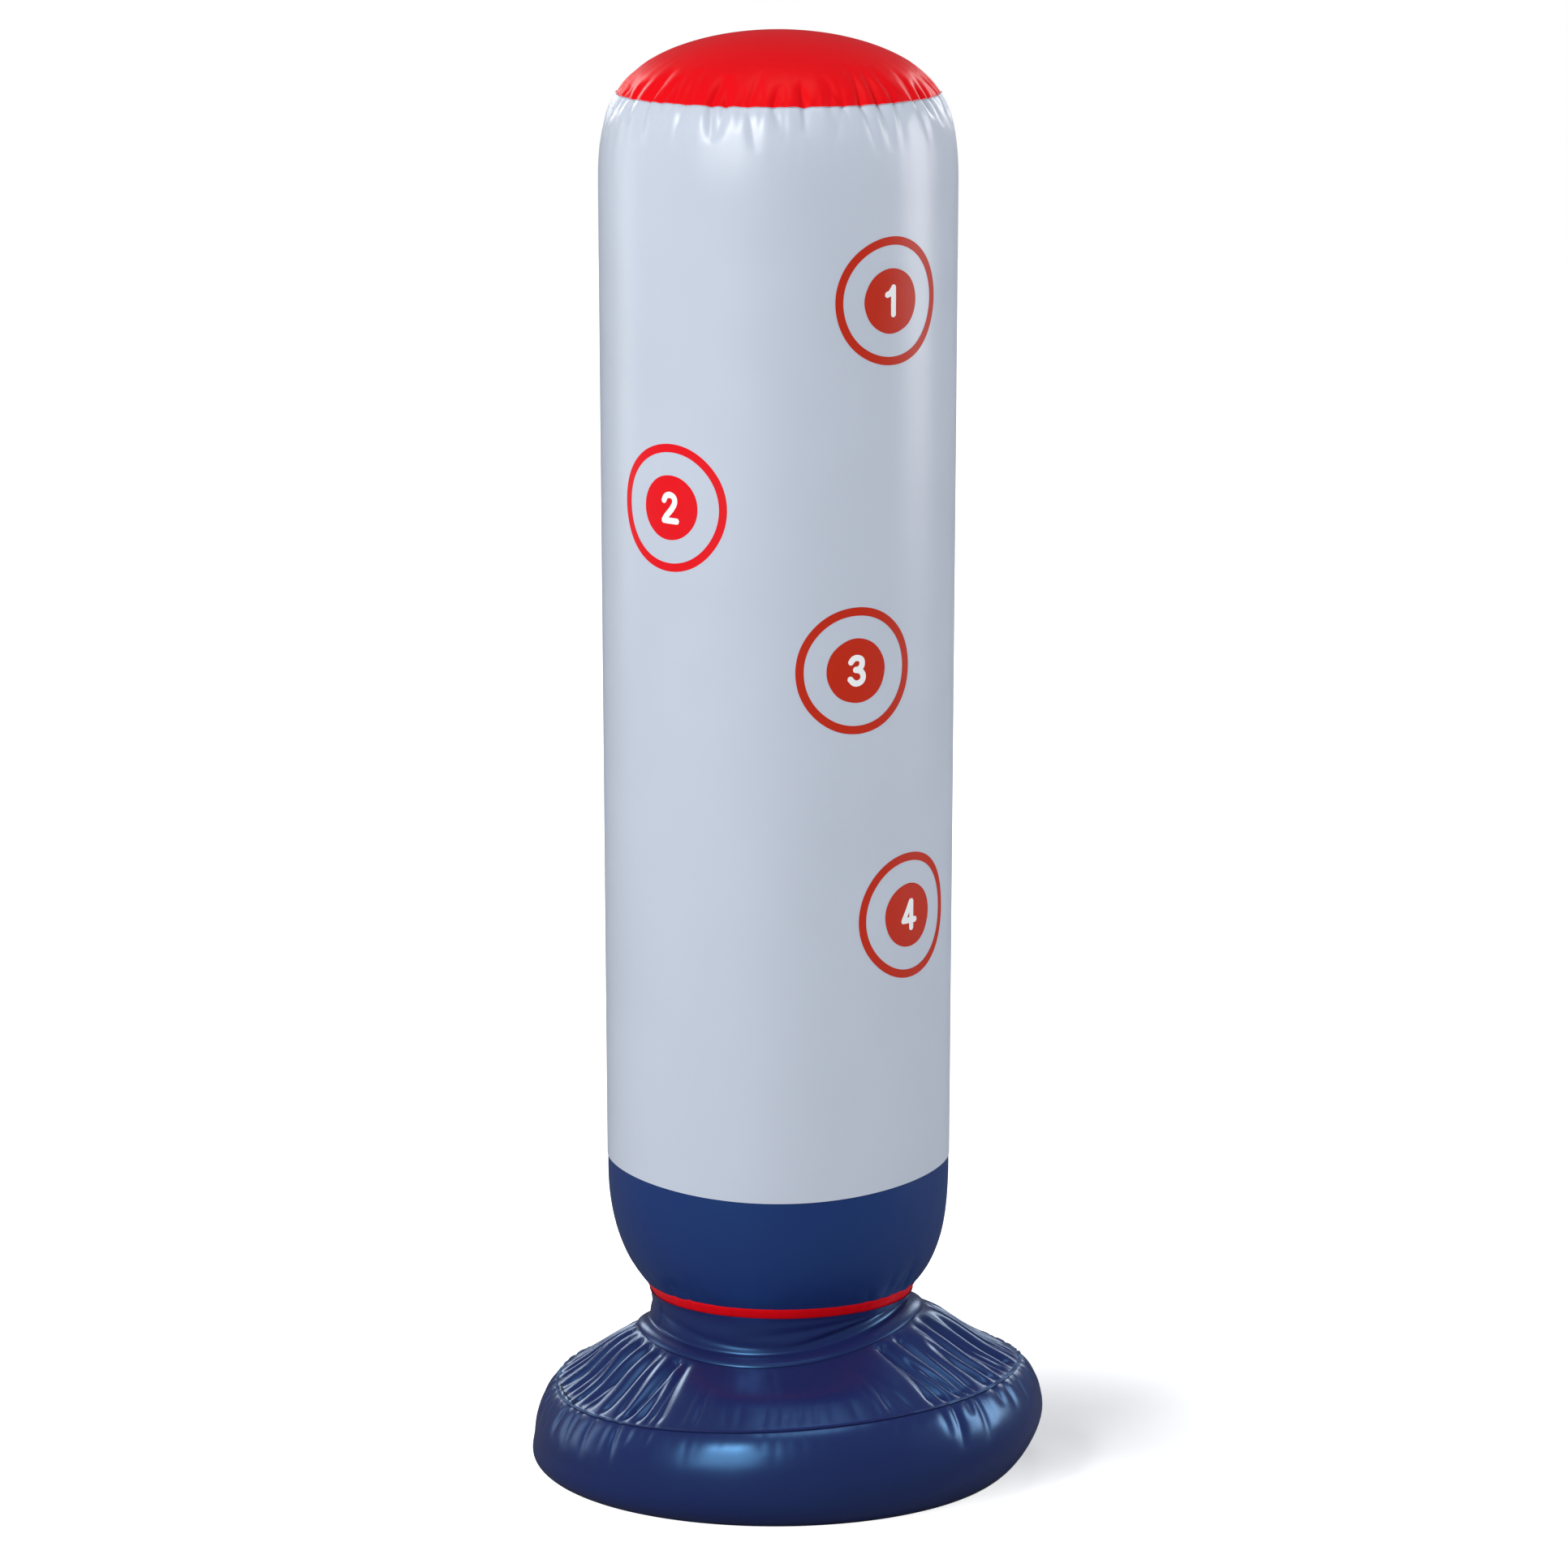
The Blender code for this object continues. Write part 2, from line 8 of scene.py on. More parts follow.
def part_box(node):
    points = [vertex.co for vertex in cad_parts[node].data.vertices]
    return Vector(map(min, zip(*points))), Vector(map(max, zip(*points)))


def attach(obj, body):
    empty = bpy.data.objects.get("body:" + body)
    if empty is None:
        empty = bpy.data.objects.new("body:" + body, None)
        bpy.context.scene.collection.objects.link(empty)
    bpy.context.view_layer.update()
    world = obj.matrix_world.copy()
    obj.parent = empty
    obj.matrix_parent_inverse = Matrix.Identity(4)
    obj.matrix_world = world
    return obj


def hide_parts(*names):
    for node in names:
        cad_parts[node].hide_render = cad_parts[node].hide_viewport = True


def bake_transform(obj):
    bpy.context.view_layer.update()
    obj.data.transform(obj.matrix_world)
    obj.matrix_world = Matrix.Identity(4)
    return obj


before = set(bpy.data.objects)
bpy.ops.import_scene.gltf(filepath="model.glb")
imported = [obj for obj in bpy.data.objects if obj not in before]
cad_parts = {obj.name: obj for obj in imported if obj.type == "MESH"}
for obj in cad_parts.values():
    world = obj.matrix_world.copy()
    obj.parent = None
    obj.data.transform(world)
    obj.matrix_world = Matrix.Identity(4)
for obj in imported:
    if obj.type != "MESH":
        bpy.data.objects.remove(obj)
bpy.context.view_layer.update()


# The base's floor panel is a flat disc of navy PVC film, and the lowest piece of the water pouch.
# It is cut from calendered film and welded to the side panel all round, so it stays the flat solid it is.

def vinyl(name, colour, roughness, specular, gloss_tint=(1, 1, 1), fin_highlight_colour=None):
    """Calendered PVC film: a faintly cloudy colour and an uneven gloss, with a painted highlight on a fin if
    given.
    """
    cloudiness = 0.04
    gloss_change = 0.025
    made = bpy.data.materials.new(name)
    made.use_nodes = True
    nodes, links = made.node_tree.nodes, made.node_tree.links
    shader = nodes["Principled BSDF"]
    shader.inputs["IOR"].default_value = 1.53
    shader.inputs["Specular IOR Level"].default_value = specular
    shader.inputs["Specular Tint"].default_value = (*gloss_tint, 1)
    place = nodes.new("ShaderNodeTexCoord")

    clouds = nodes.new("ShaderNodeTexNoise")
    clouds.inputs["Scale"].default_value = 11
    clouds.inputs["Detail"].default_value = 1
    links.new(place.outputs["Object"], clouds.inputs["Vector"])
    tint = nodes.new("ShaderNodeMix")
    tint.data_type = "RGBA"
    tint.inputs["A"].default_value = (*[(1 - cloudiness) * c for c in colour], 1)
    tint.inputs["B"].default_value = (*[(1 + cloudiness) * c for c in colour], 1)
    links.new(clouds.outputs["Fac"], tint.inputs["Factor"])
    links.new(tint.outputs["Result"], shader.inputs["Base Color"])
    # a painted highlight: the given pale colour, laid where the weld attribute marks the seam's fin, stands
    # in for light caught by its edge
    if fin_highlight_colour:
        weld = nodes.new("ShaderNodeAttribute")
        weld.attribute_name = "weld"
        fin_highlighted = nodes.new("ShaderNodeMix")
        fin_highlighted.data_type = "RGBA"
        fin_highlighted.inputs["B"].default_value = (*fin_highlight_colour, 1)
        links.new(weld.outputs["Fac"], fin_highlighted.inputs["Factor"])
        links.new(tint.outputs["Result"], fin_highlighted.inputs["A"])
        links.new(fin_highlighted.outputs["Result"], shader.inputs["Base Color"])

    smears = nodes.new("ShaderNodeTexNoise")
    smears.inputs["Scale"].default_value = 24
    smears.inputs["Detail"].default_value = 1
    links.new(place.outputs["Object"], smears.inputs["Vector"])
    gloss = nodes.new("ShaderNodeMapRange")
    gloss.inputs["From Min"].default_value = 0.3
    gloss.inputs["From Max"].default_value = 0.7
    gloss.inputs["To Min"].default_value = roughness - gloss_change
    gloss.inputs["To Max"].default_value = roughness + gloss_change
    links.new(smears.outputs["Fac"], gloss.inputs["Value"])
    links.new(gloss.outputs["Result"], shader.inputs["Roughness"])
    return made


navy_gloss = (0.20, 0.55, 1)
# its last colour is a painted highlight, pale blue, along the seam's fin
base_navy = vinyl("base_navy_vinyl", (0.0145, 0.0205, 0.102), 0.30, 1.0, navy_gloss, (0.16, 0.28, 0.50))
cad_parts["base_bottom_panel"].material_slots[0].material = base_navy


# The base's side and top panels are navy film, welded edge to edge in a pinched fin, over water and air.
# The top was cut as a flat ring, so drawn up to the neck it gathers into folds, deepest at the two sides.
# The filled pouch sags to one side and sits a little off the column's axis.

def bezier(start, first, second, end, count):
    """Points along a cubic curve, with both ends."""
    t = np.linspace(0, 1, count + 1)[:, None]
    corners = [np.array(p) for p in (start, first, second, end)]
    weights = ((1 - t) ** 3, 3 * t * (1 - t) ** 2, 3 * t * t * (1 - t), t ** 3)
    return sum(w * c for w, c in zip(weights, corners))


def lathe(name, path, steps):
    """Turns a chain of (radius, height) points round Z, as on a lathe."""
    bpy.ops.object.select_all(action="DESELECT")
    bpy.ops.mesh.primitive_plane_add(size=0.01)
    piece = bpy.context.object
    piece.name = name
    bpy.ops.object.mode_set(mode="EDIT")
    bpy.ops.mesh.merge(type="CENTER")
    bpy.ops.transform.translate(value=(path[0][0], 0, path[0][1]))
    for before, after in zip(path, path[1:]):
        step = (after[0] - before[0], 0, after[1] - before[1])
        bpy.ops.mesh.extrude_region_move(TRANSFORM_OT_translate={"value": step})
    bpy.ops.mesh.select_all(action="SELECT")
    bpy.ops.mesh.spin(steps=steps, angle=math.tau, center=(0, 0, 0), axis=(0, 0, 1))
    bpy.ops.mesh.select_all(action="SELECT")
    bpy.ops.mesh.remove_doubles(threshold=0.000005)
    bpy.ops.mesh.normals_make_consistent(inside=False)
    bpy.ops.object.mode_set(mode="OBJECT")
    return piece


def points(piece):
    """The piece's vertices, as rows of x, y and z."""
    flat = np.empty(len(piece.data.vertices) * 3)
    piece.data.vertices.foreach_get("co", flat)
    return flat.reshape(-1, 3)


def put(piece, places):
    """Moves the piece's vertices to these places."""
    piece.data.vertices.foreach_set("co", np.ascontiguousarray(places).ravel())
    piece.data.update()


def smooth_step(value, low, high):
    """0 below a low value, 1 above a high one, and an even curve between them."""
    t = np.clip((value - low) / (high - low), 0, 1)
    return t * t * (3 - 2 * t)


def rings(piece, path):
    """Which point of its turned path each vertex lies on, and its turn from the front towards +X."""
    places = points(piece)
    path = np.array(path)
    radius = np.hypot(places[:, 0], places[:, 1])
    ring = np.argmin(np.hypot(radius[:, None] - path[:, 0], places[:, 2:] - path[:, 1]), axis=1)
    return ring, np.arctan2(places[:, 0], -places[:, 1])


def faces_out(path):
    """The outward direction, in radius and height, at each point of a path that climbs up its outer face."""
    along = np.gradient(np.array(path), axis=0)
    along /= np.linalg.norm(along, axis=1)[:, None]
    return np.column_stack((along[:, 1], -along[:, 0]))


def pick(piece):
    """Makes a piece the active one, and the only one selected."""
    bpy.ops.object.select_all(action="DESELECT")
    piece.select_set(True)
    bpy.context.view_layer.objects.active = piece


def apply_modifier(piece, kind, **settings):
    """Adds a modifier with these settings and applies it."""
    pick(piece)
    modifier = piece.modifiers.new(kind.lower(), kind)
    for key, value in settings.items():
        setattr(modifier, key, value)
    bpy.ops.object.modifier_apply(modifier=modifier.name)


def face_out(piece, inside):
    """Turns the faces away from a height on the axis that lies inside the film."""
    pick(piece)
    bpy.ops.object.mode_set(mode="EDIT")
    bpy.ops.mesh.select_all(action="SELECT")
    bpy.ops.mesh.normals_make_consistent(inside=False)
    bpy.ops.object.mode_set(mode="OBJECT")
    outward = sum(f.area * f.normal.dot(f.center - Vector((0, 0, inside))) for f in piece.data.polygons)
    if outward < 0:
        bpy.ops.object.mode_set(mode="EDIT")
        bpy.ops.mesh.flip_normals()
        bpy.ops.object.mode_set(mode="OBJECT")


crease_angle = math.radians(62)


def dress(piece, finish, slot, *nodes):
    """Shades a finished piece, gives it its material, and puts it in place of its solids. The slot is not
    used.
    """
    pick(piece)
    bpy.ops.object.shade_smooth_by_angle(angle=crease_angle)
    piece.data.materials.clear()
    piece.data.materials.append(finish)
    if nodes:
        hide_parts(*nodes)


def gathers(rng, count, deepest, longest):
    """Uneven fold lines round a weld: the turn, depth, reach and slant of each."""
    gaps = rng.uniform(0.5, 1.5, count)
    turns = np.cumsum(gaps) / gaps.sum() * math.tau - math.pi
    depths = deepest * rng.uniform(0.3, 1, count)
    reaches = longest * rng.uniform(0.4, 1, count)
    return np.column_stack((turns, depths, reaches, rng.uniform(-0.07, 0.07, count)))


def drawn_in(turn, away, radius, folds, width):
    """How deep the folds draw the film in, at a turn and a distance away from the weld."""
    depth = np.zeros(len(turn))
    for place, deepest, reach, slant in folds:
        share = away / reach
        off = turn - place - slant * share
        off = (off + math.pi) % math.tau - math.pi
        fade = np.clip(1 - share ** 2, 0, 1)
        depth += deepest * fade * np.exp(-np.abs(off * radius / (width * (1 + 0.6 * share))) ** 1.5)
    return depth


film = 0.0003
fin_width = 0.003
base_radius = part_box("base_side_panel")[1].x
base_seam_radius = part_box("base_top_panel")[1].x - fin_width
base_seam_height = (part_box("base_side_panel")[1].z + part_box("base_top_panel")[0].z) / 2
belly_height = 0.041
foot_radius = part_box("base_bottom_panel")[1].x
foot_lap = 0.016
base_lean = 0.066
base_shift = (0.0085, -0.0080)
foot_shift = -0.011
cone_swell = 0.0025
lip_edge = (0.1195, 0.1235)
lip_start = 0.1195
seam_zone = (0, 0.050)
neck_zone = (0.098, 0.120)
neck_end = (0.133, 0.152)
shift_end = (0.090, 0.135)
foot_end = (0, 0.045)
back_zone = (math.radians(75), math.radians(115))
front_zone = (math.radians(20), math.radians(50))
filler_place = Vector((0, 0.162983, 0.101744))
filler_out = Vector((0, 0.477079, 0.87886))
filler_clear = (0.030, 0.075)
filler_flat = (0.0235, 0.0330)
filler_hole_radius = 0.0167
filler_film_depth = 0.0003


def beside_filler(places):
    """0 round the filler, where the film lies as the valve holds it, and 1 away from it."""
    away = np.linalg.norm(places - np.array(filler_place), axis=1)
    return smooth_step(away, *filler_clear)


def sag(places):
    """The base's lean: its seam hangs low at the left, its neck is low in front and high at the right."""
    moved = places.copy()
    free = beside_filler(places)
    turn = np.arctan2(places[:, 0], -places[:, 1])
    height = places[:, 2]
    at_seam = smooth_step(height, *seam_zone) * (1 - smooth_step(height, *neck_zone))
    at_neck = smooth_step(height, *neck_zone) * (1 - smooth_step(height, *neck_end))
    behind = smooth_step(np.abs(turn), *back_zone)
    seam_lift = base_lean * places[:, 0] * (1 - behind * np.where(places[:, 0] > 0, 0.62, 0.35))
    neck_lift = 0.0028 + 0.0095 * np.sin(turn) - 0.0040 * np.cos(turn) - 0.0067 * np.cos(2 * turn)
    neck_lift -= 0.0070 * behind
    moved[:, 2] += (seam_lift * at_seam + neck_lift * at_neck) * free
    moved[:, :2] += np.array(base_shift) * ((1 - smooth_step(height, *shift_end)) * free)[:, None]
    moved[:, 0] += foot_shift * (1 - smooth_step(height, *foot_end))
    return moved


def gathered_side(turn):
    """The folds are deep at both sides and shallow in front, where the film is drawn tight."""
    shallow = 0.16
    return shallow + (1 - shallow) * smooth_step(np.abs(turn), *front_zone)


def fold_film(piece, path, seam, folds, width, meeting, full):
    """Draws a turned film into folds that run from its weld. At the weld it moves as its neighbour does."""
    weld_share = 0.22
    ring, turn = rings(piece, path)
    path = np.array(path)
    lengths = np.r_[0, np.cumsum(np.linalg.norm(np.diff(path, axis=0), axis=1))]
    away = np.abs(lengths - lengths[seam])
    away[:seam + 1 if path[0][0] > path[seam][0] else 0] = 0
    away[seam if path[-1][0] > path[seam][0] else len(path):] = 0
    near_weld = smooth_step(away, 0, 0.012)[:, None]
    out = near_weld * faces_out(path) + (1 - near_weld) * np.array(meeting)
    places = points(piece)
    depth = drawn_in(turn, away[ring], path[ring, 0], folds, width)
    depth *= weld_share + (full - weld_share) * smooth_step(away[ring], 0, 0.014)
    depth *= gathered_side(turn) * beside_filler(places)
    depth *= 1 - smooth_step(places[:, 2], lip_start, lip_edge[1])
    places[:, 0] -= depth * out[ring, 0] * np.sin(turn)
    places[:, 1] += depth * out[ring, 0] * np.cos(turn)
    places[:, 2] -= depth * out[ring, 1]
    put(piece, places)


def off_axis(spots, place, out):
    """How far spots lie along a valve's axis, and the rows that lead to them straight out from it."""
    along_axis = (spots - np.array(place)) @ np.array(out)
    return along_axis, spots - np.array(place) - along_axis[:, None] * np.array(out)


def cut_away(piece, unwanted):
    """Deletes faces from a piece and leaves its open rims selected."""
    pick(piece)
    bpy.ops.object.mode_set(mode="EDIT")
    bpy.ops.mesh.select_mode(type="FACE")
    bpy.ops.mesh.select_all(action="DESELECT")
    bpy.ops.object.mode_set(mode="OBJECT")
    piece.data.polygons.foreach_set("select", unwanted)
    bpy.ops.object.mode_set(mode="EDIT")
    bpy.ops.mesh.delete(type="FACE")
    bpy.ops.mesh.select_mode(type="VERT")
    bpy.ops.mesh.select_non_manifold()
    bpy.ops.object.mode_set(mode="OBJECT")


def seat_filler(piece):
    """Lays the film flat round the filler, and cuts the filler's round hole in it."""
    near = 0.02
    places = points(piece)
    depth, aside = off_axis(places, filler_place, filler_out)
    flat = 1 - smooth_step(np.linalg.norm(aside, axis=1), *filler_flat)
    flat *= np.abs(depth) < 0.03
    put(piece, places - ((depth + filler_film_depth) * flat)[:, None] * np.array(filler_out))
    centres = np.array([f.center for f in piece.data.polygons])
    depth, aside = off_axis(centres, filler_place, filler_out)
    cut_away(piece, (np.linalg.norm(aside, axis=1) < filler_hole_radius) & (np.abs(depth) < near))
    places = points(piece)
    depth, aside = off_axis(places, filler_place, filler_out)
    gap = np.linalg.norm(aside, axis=1)
    rim = np.array([v.select for v in piece.data.vertices]) & (gap < filler_flat[0]) & (np.abs(depth) < near)
    places[rim] += aside[rim] * (filler_hole_radius / gap[rim] - 1)[:, None]
    put(piece, places)


base_rng = np.random.default_rng(11)
base_folds = gathers(base_rng, count=84, deepest=0.0075, longest=0.135)
fold_width = 0.0034
seam_point = (base_seam_radius, base_seam_height)
fin_tip = (base_seam_radius + 0.0022, base_seam_height - 0.0004)

belly = (base_radius, belly_height)
foot = (foot_radius, 2 * film)
side_path = [(foot_radius - foot_lap, 2 * film)]
beside_foot = (foot_radius + 0.55 * (base_radius - foot_radius), 2 * film)
under_belly = (base_radius, 0.45 * belly_height)
over_belly = (base_radius, belly_height + 0.024)
under_seam = (base_seam_radius + 0.0090, base_seam_height - 0.0045)
side_path += [tuple(p) for p in bezier(foot, beside_foot, under_belly, belly, 18)]
side_path += [tuple(p) for p in bezier(belly, over_belly, under_seam, seam_point, 22)][1:]
side_seam = len(side_path) - 1
side_path += [fin_tip]

slope = np.linspace(0, 1, 45)[:, None]
cone = np.array(seam_point) + (np.array(lip_edge) - np.array(seam_point)) * slope
top_path = [(fin_tip[0], fin_tip[1] + 2 * film)] + [tuple(p) for p in cone]
top_path += [(0.1180, 0.1239), (0.1165, 0.1243)]

base_side = lathe("base_side_film", side_path, steps=640)
base_top = lathe("base_top_film", top_path, steps=800)
side_folds = base_folds * np.array((1, 1, 0.34, 0.3))
weld_face = (0.80, 0.60)
fold_film(base_side, side_path, side_seam, side_folds, fold_width, weld_face, full=0.42)
places = points(base_top)
up_slope = np.clip((places[:, 2] - base_seam_height) / (lip_edge[1] - base_seam_height), 0, 1)
ring, turn = rings(base_top, top_path)
fold_film(base_top, top_path, 1, base_folds, fold_width, weld_face, full=1)
places = points(base_top)
places[:, 2] += cone_swell * np.sin(math.pi * up_slope) * beside_filler(places)
put(base_top, places)
# a painted highlight on the seam's fin: pale, in broken dashes, at the two sides and none in front, where the
# fin catches the light
weld = base_top.data.attributes.new("weld", "FLOAT", "POINT")
fin_highlight_rng = np.random.default_rng(2)
fin_highlight_spots = 241
spot_turns = np.linspace(-math.pi, math.pi, fin_highlight_spots)
fin_highlight_share = np.interp(turn, spot_turns, fin_highlight_rng.uniform(0.3, 1, fin_highlight_spots) ** 2)
fin_highlight_share *= smooth_step(np.abs(turn), math.radians(22), math.radians(60))
weld.data.foreach_set("value", np.where(ring <= 1, fin_highlight_share, 0))
for panel in (base_side, base_top):
    put(panel, sag(points(panel)))
seat_filler(base_top)
for panel in (base_side, base_top):
    face_out(panel, inside=0.06)
    apply_modifier(panel, "SOLIDIFY", thickness=film, offset=-1)

dress(base_side, base_navy, "base_blue_vinyl", "base_side_panel")
dress(base_top, base_navy, "base_blue_vinyl", "base_top_panel")
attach(base_side, "base")
# the lip follows the neck above a leaning plane, which leaves the filler's rim and the seam on the base
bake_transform(base_top)


# The water lies in the pouch as one still body, up to just below the filler's inner end.
# It is clear and a little green, and its top stays level while the film round it sags.

def water_finish():
    """Clear water, with a faint uneven tint."""
    made = bpy.data.materials.new("ballast_water")
    made.use_nodes = True
    nodes, links = made.node_tree.nodes, made.node_tree.links
    shader = nodes["Principled BSDF"]
    shader.inputs["Transmission Weight"].default_value = 1
    shader.inputs["IOR"].default_value = 1.333
    shader.inputs["Roughness"].default_value = 0.03
    place = nodes.new("ShaderNodeTexCoord")
    murk = nodes.new("ShaderNodeTexNoise")
    murk.inputs["Scale"].default_value = 6
    links.new(place.outputs["Object"], murk.inputs["Vector"])
    tint = nodes.new("ShaderNodeMix")
    tint.data_type = "RGBA"
    tint.inputs["A"].default_value = (0.60, 0.76, 0.78, 1)
    tint.inputs["B"].default_value = (0.72, 0.84, 0.85, 1)
    links.new(murk.outputs["Fac"], tint.inputs["Factor"])
    links.new(tint.outputs["Result"], shader.inputs["Base Color"])
    return made


water_gap = 0.013
water_floor = 0.0015
water_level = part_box("water_ballast")[1].z
pool_path = [(0, water_floor), (foot_radius - water_gap, water_floor)]
pool_path += [(r - water_gap, z) for r, z in side_path[4:side_seam] if 0.004 < z < water_level]
pool_path += [(pool_path[-1][0], water_level), (0, water_level)]
water = lathe("water_ballast_body", pool_path, steps=160)
still = points(water)
still[:, :2] += base_shift
put(water, still)
dress(water, water_finish(), "water", "water_ballast")
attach(water, "base")


# The water filler is a moulded PVC socket under a round hole in the back of the base's top, and welded there.
# A plug with a round-edged head stops it, and a thin strap from its rim keeps the plug.

valve_white = vinyl("valve_vinyl", (0.62, 0.65, 0.68), 0.40, 0.4)


def chamfered(outline, size):
    """A closed outline with each corner cut off, so that a moulded edge is not sharp."""
    cut = []
    for before, here, after in zip(outline[-1:] + outline[:-1], outline, outline[1:] + outline[:1]):
        here = Vector(here)
        for other in (Vector(before), Vector(after)):
            aside = other - here
            cut.append(tuple(here + aside * min(0.4, size / aside.length)))
    return cut + cut[:1]


def set_in(piece, place, across, out):
    """Moves a piece's mesh from a valve's own frame (Y across, Z out) to where the valve is."""
    across, out = Vector(across).normalized(), Vector(out).normalized()
    turned = Matrix((across.cross(out), across, out)).transposed().to_4x4()
    piece.data.transform(Matrix.Translation(place) @ turned)
    piece.data.update()


def plug_outline(head, pin, length):
    """Half the section of a plug: a low crowned head over a tapered pin."""
    crown = [(0, 0.0046), (0.5 * head, 0.00455), (0.8 * head, 0.0044), (head - 0.0006, 0.0040),
             (head, 0.0033), (head, 0.0024), (head - 0.0003, 0.0021)]
    return crown + [(pin, 0.0021), (pin - 0.0003, -length), (0, -length)]


def strap_mesh(name, rim):
    """The strap, in a valve's own frame: from the rim, out, round a bend, and back to the plug's head."""
    foot, bend = 0.0009, 0.0012
    head = foot + 2 * bend
    line = [(rim - 0.0012, foot), (rim + 0.003, foot), (rim + 0.0066, foot)]
    for t in np.linspace(0, math.pi, 9):
        line.append((rim + 0.0072 + bend * math.sin(t), foot + bend - bend * math.cos(t)))
    line += [(rim + 0.0066, head), (rim + 0.003, head), (rim + 0.0006, head)]
    bpy.ops.object.select_all(action="DESELECT")
    bpy.ops.mesh.primitive_plane_add(size=0.0055)
    piece = bpy.context.object
    piece.name = name
    bpy.ops.object.mode_set(mode="EDIT")
    bpy.ops.mesh.select_all(action="DESELECT")
    bpy.ops.object.mode_set(mode="OBJECT")
    for vertex in piece.data.vertices:
        vertex.select = vertex.co.y > 0
        vertex.co.y, vertex.co.z = line[1] if vertex.co.y > 0 else line[0]
    bpy.ops.object.mode_set(mode="EDIT")
    for before, after in zip(line[1:], line[2:]):
        step = (0, after[0] - before[0], after[1] - before[1])
        bpy.ops.mesh.extrude_edges_move(TRANSFORM_OT_translate={"value": step})
    bpy.ops.object.mode_set(mode="OBJECT")
    apply_modifier(piece, "SOLIDIFY", thickness=0.001, offset=0)
    apply_modifier(piece, "BEVEL", width=0.0002, segments=2)
    return piece


filler_across = (0, 0.87886, -0.477079)
filler_rim = 0.0155
filler_bore, filler_tube, filler_flange = 0.0113, 0.0133, 0.0205
socket_outline = [(filler_bore, 0.0018), (filler_rim, 0.0018), (filler_rim, -0.0012),
                  (filler_flange, -0.0012), (filler_flange, -0.0022), (filler_tube, -0.0022),
                  (filler_tube, -0.018), (filler_bore, -0.018)]
filler_socket = lathe("filler_socket_body", chamfered(socket_outline, 0.0003), 96)
filler_plug = lathe("filler_plug_body", plug_outline(head=0.0163, pin=0.0110, length=0.008), 96)
filler_strap = strap_mesh("filler_strap_band", filler_rim)
filler_pieces = {"filler_socket": filler_socket, "filler_plug": filler_plug, "filler_strap": filler_strap}
for node, piece in filler_pieces.items():
    set_in(piece, filler_place, filler_across, filler_out)
    dress(piece, valve_white, "valve_vinyl", node)
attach(filler_socket, "base")
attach(filler_plug, "filler_stopper")
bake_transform(filler_strap)


# The neck is a short sleeve of navy film between base and column, closed by an upright lap weld at the left.
# Its foot turns out into a smooth weld band on the base's top, and the slack film above it creases.

neck_radius = 0.1073
neck_path = [(0.1195, 0.1241), (0.1190, 0.1252), (0.1176, 0.1268), (0.1155, 0.1283), (0.1130, 0.1295)]
neck_path += [(0.1104, 0.1302), (0.1086, 0.1306), (0.1075, 0.1314), (0.1072, 0.1328)]
neck_path += [tuple(p) for p in bezier((0.1071, 0.1345), (0.1066, 0.1400), (0.1068, 0.1470),
                                       (0.1099, 0.1538), 18)]
neck_path += [(0.1060, 0.1528), (0.1020, 0.1500)]
neck = lathe("neck_sleeve_film", neck_path, steps=480)
turn = rings(neck, neck_path)[1]
places = points(neck)
sleeve = smooth_step(places[:, 2], 0.1325, 0.1370) * (1 - smooth_step(places[:, 2], 0.1470, 0.1530))
# each crease: its middle and spread round the neck in degrees, its height, its rise and its depth
creases = ((28, 20, 0.1385, 0.011, 0.0016), (58, 18, 0.1420, 0.012, 0.0014),
           (12, 30, 0.1440, 0.006, 0.0008), (-24, 26, 0.1370, -0.004, 0.0009),
           (-52, 16, 0.1415, -0.010, 0.0009), (95, 20, 0.1400, 0.004, 0.0014),
           (140, 24, 0.1430, -0.008, 0.0012), (-110, 22, 0.1400, 0.009, 0.0012),
           (-150, 26, 0.1380, -0.006, 0.0012))
pushed = np.zeros(len(places))
for middle, spread, height, rise, depth in creases:
    off = (turn - math.radians(middle) + math.pi) % math.tau - math.pi
    above = places[:, 2] - height - rise * off
    along_crease = np.exp(-(off / math.radians(spread)) ** 2)
    swell = 0.7 * np.exp(-((above - 0.0045) / 0.0030) ** 2)
    pushed += depth * along_crease * (swell - np.exp(-(above / 0.0020) ** 2))
lap_turn, lap_width, lap_height = math.radians(-71), 0.0055, 0.0011
lap_off = ((turn - lap_turn + math.pi) % math.tau - math.pi) * neck_radius
lap_end = smooth_step(lap_off, lap_width, lap_width + 0.006)
pushed += lap_height * smooth_step(lap_off, -0.0006, 0.0002) * (1 - lap_end)
pushed *= sleeve
column_shift = 0.0024
places[:, 0] += column_shift * smooth_step(places[:, 2], 0.1345, 0.1500)
places[:, 0] += pushed * np.sin(turn)
places[:, 1] -= pushed * np.cos(turn)
put(neck, sag(places))
face_out(neck, inside=0.14)
apply_modifier(neck, "SOLIDIFY", thickness=film, offset=-1)
dress(neck, base_navy, "base_blue_vinyl", "neck_sleeve")
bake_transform(neck)


# The column's floor is a red disc of film, blown out into a dome that hangs down inside the neck.
# Only its rim shows, a narrow strip between the skirt's weld and the neck, finely ribbed by the weld.

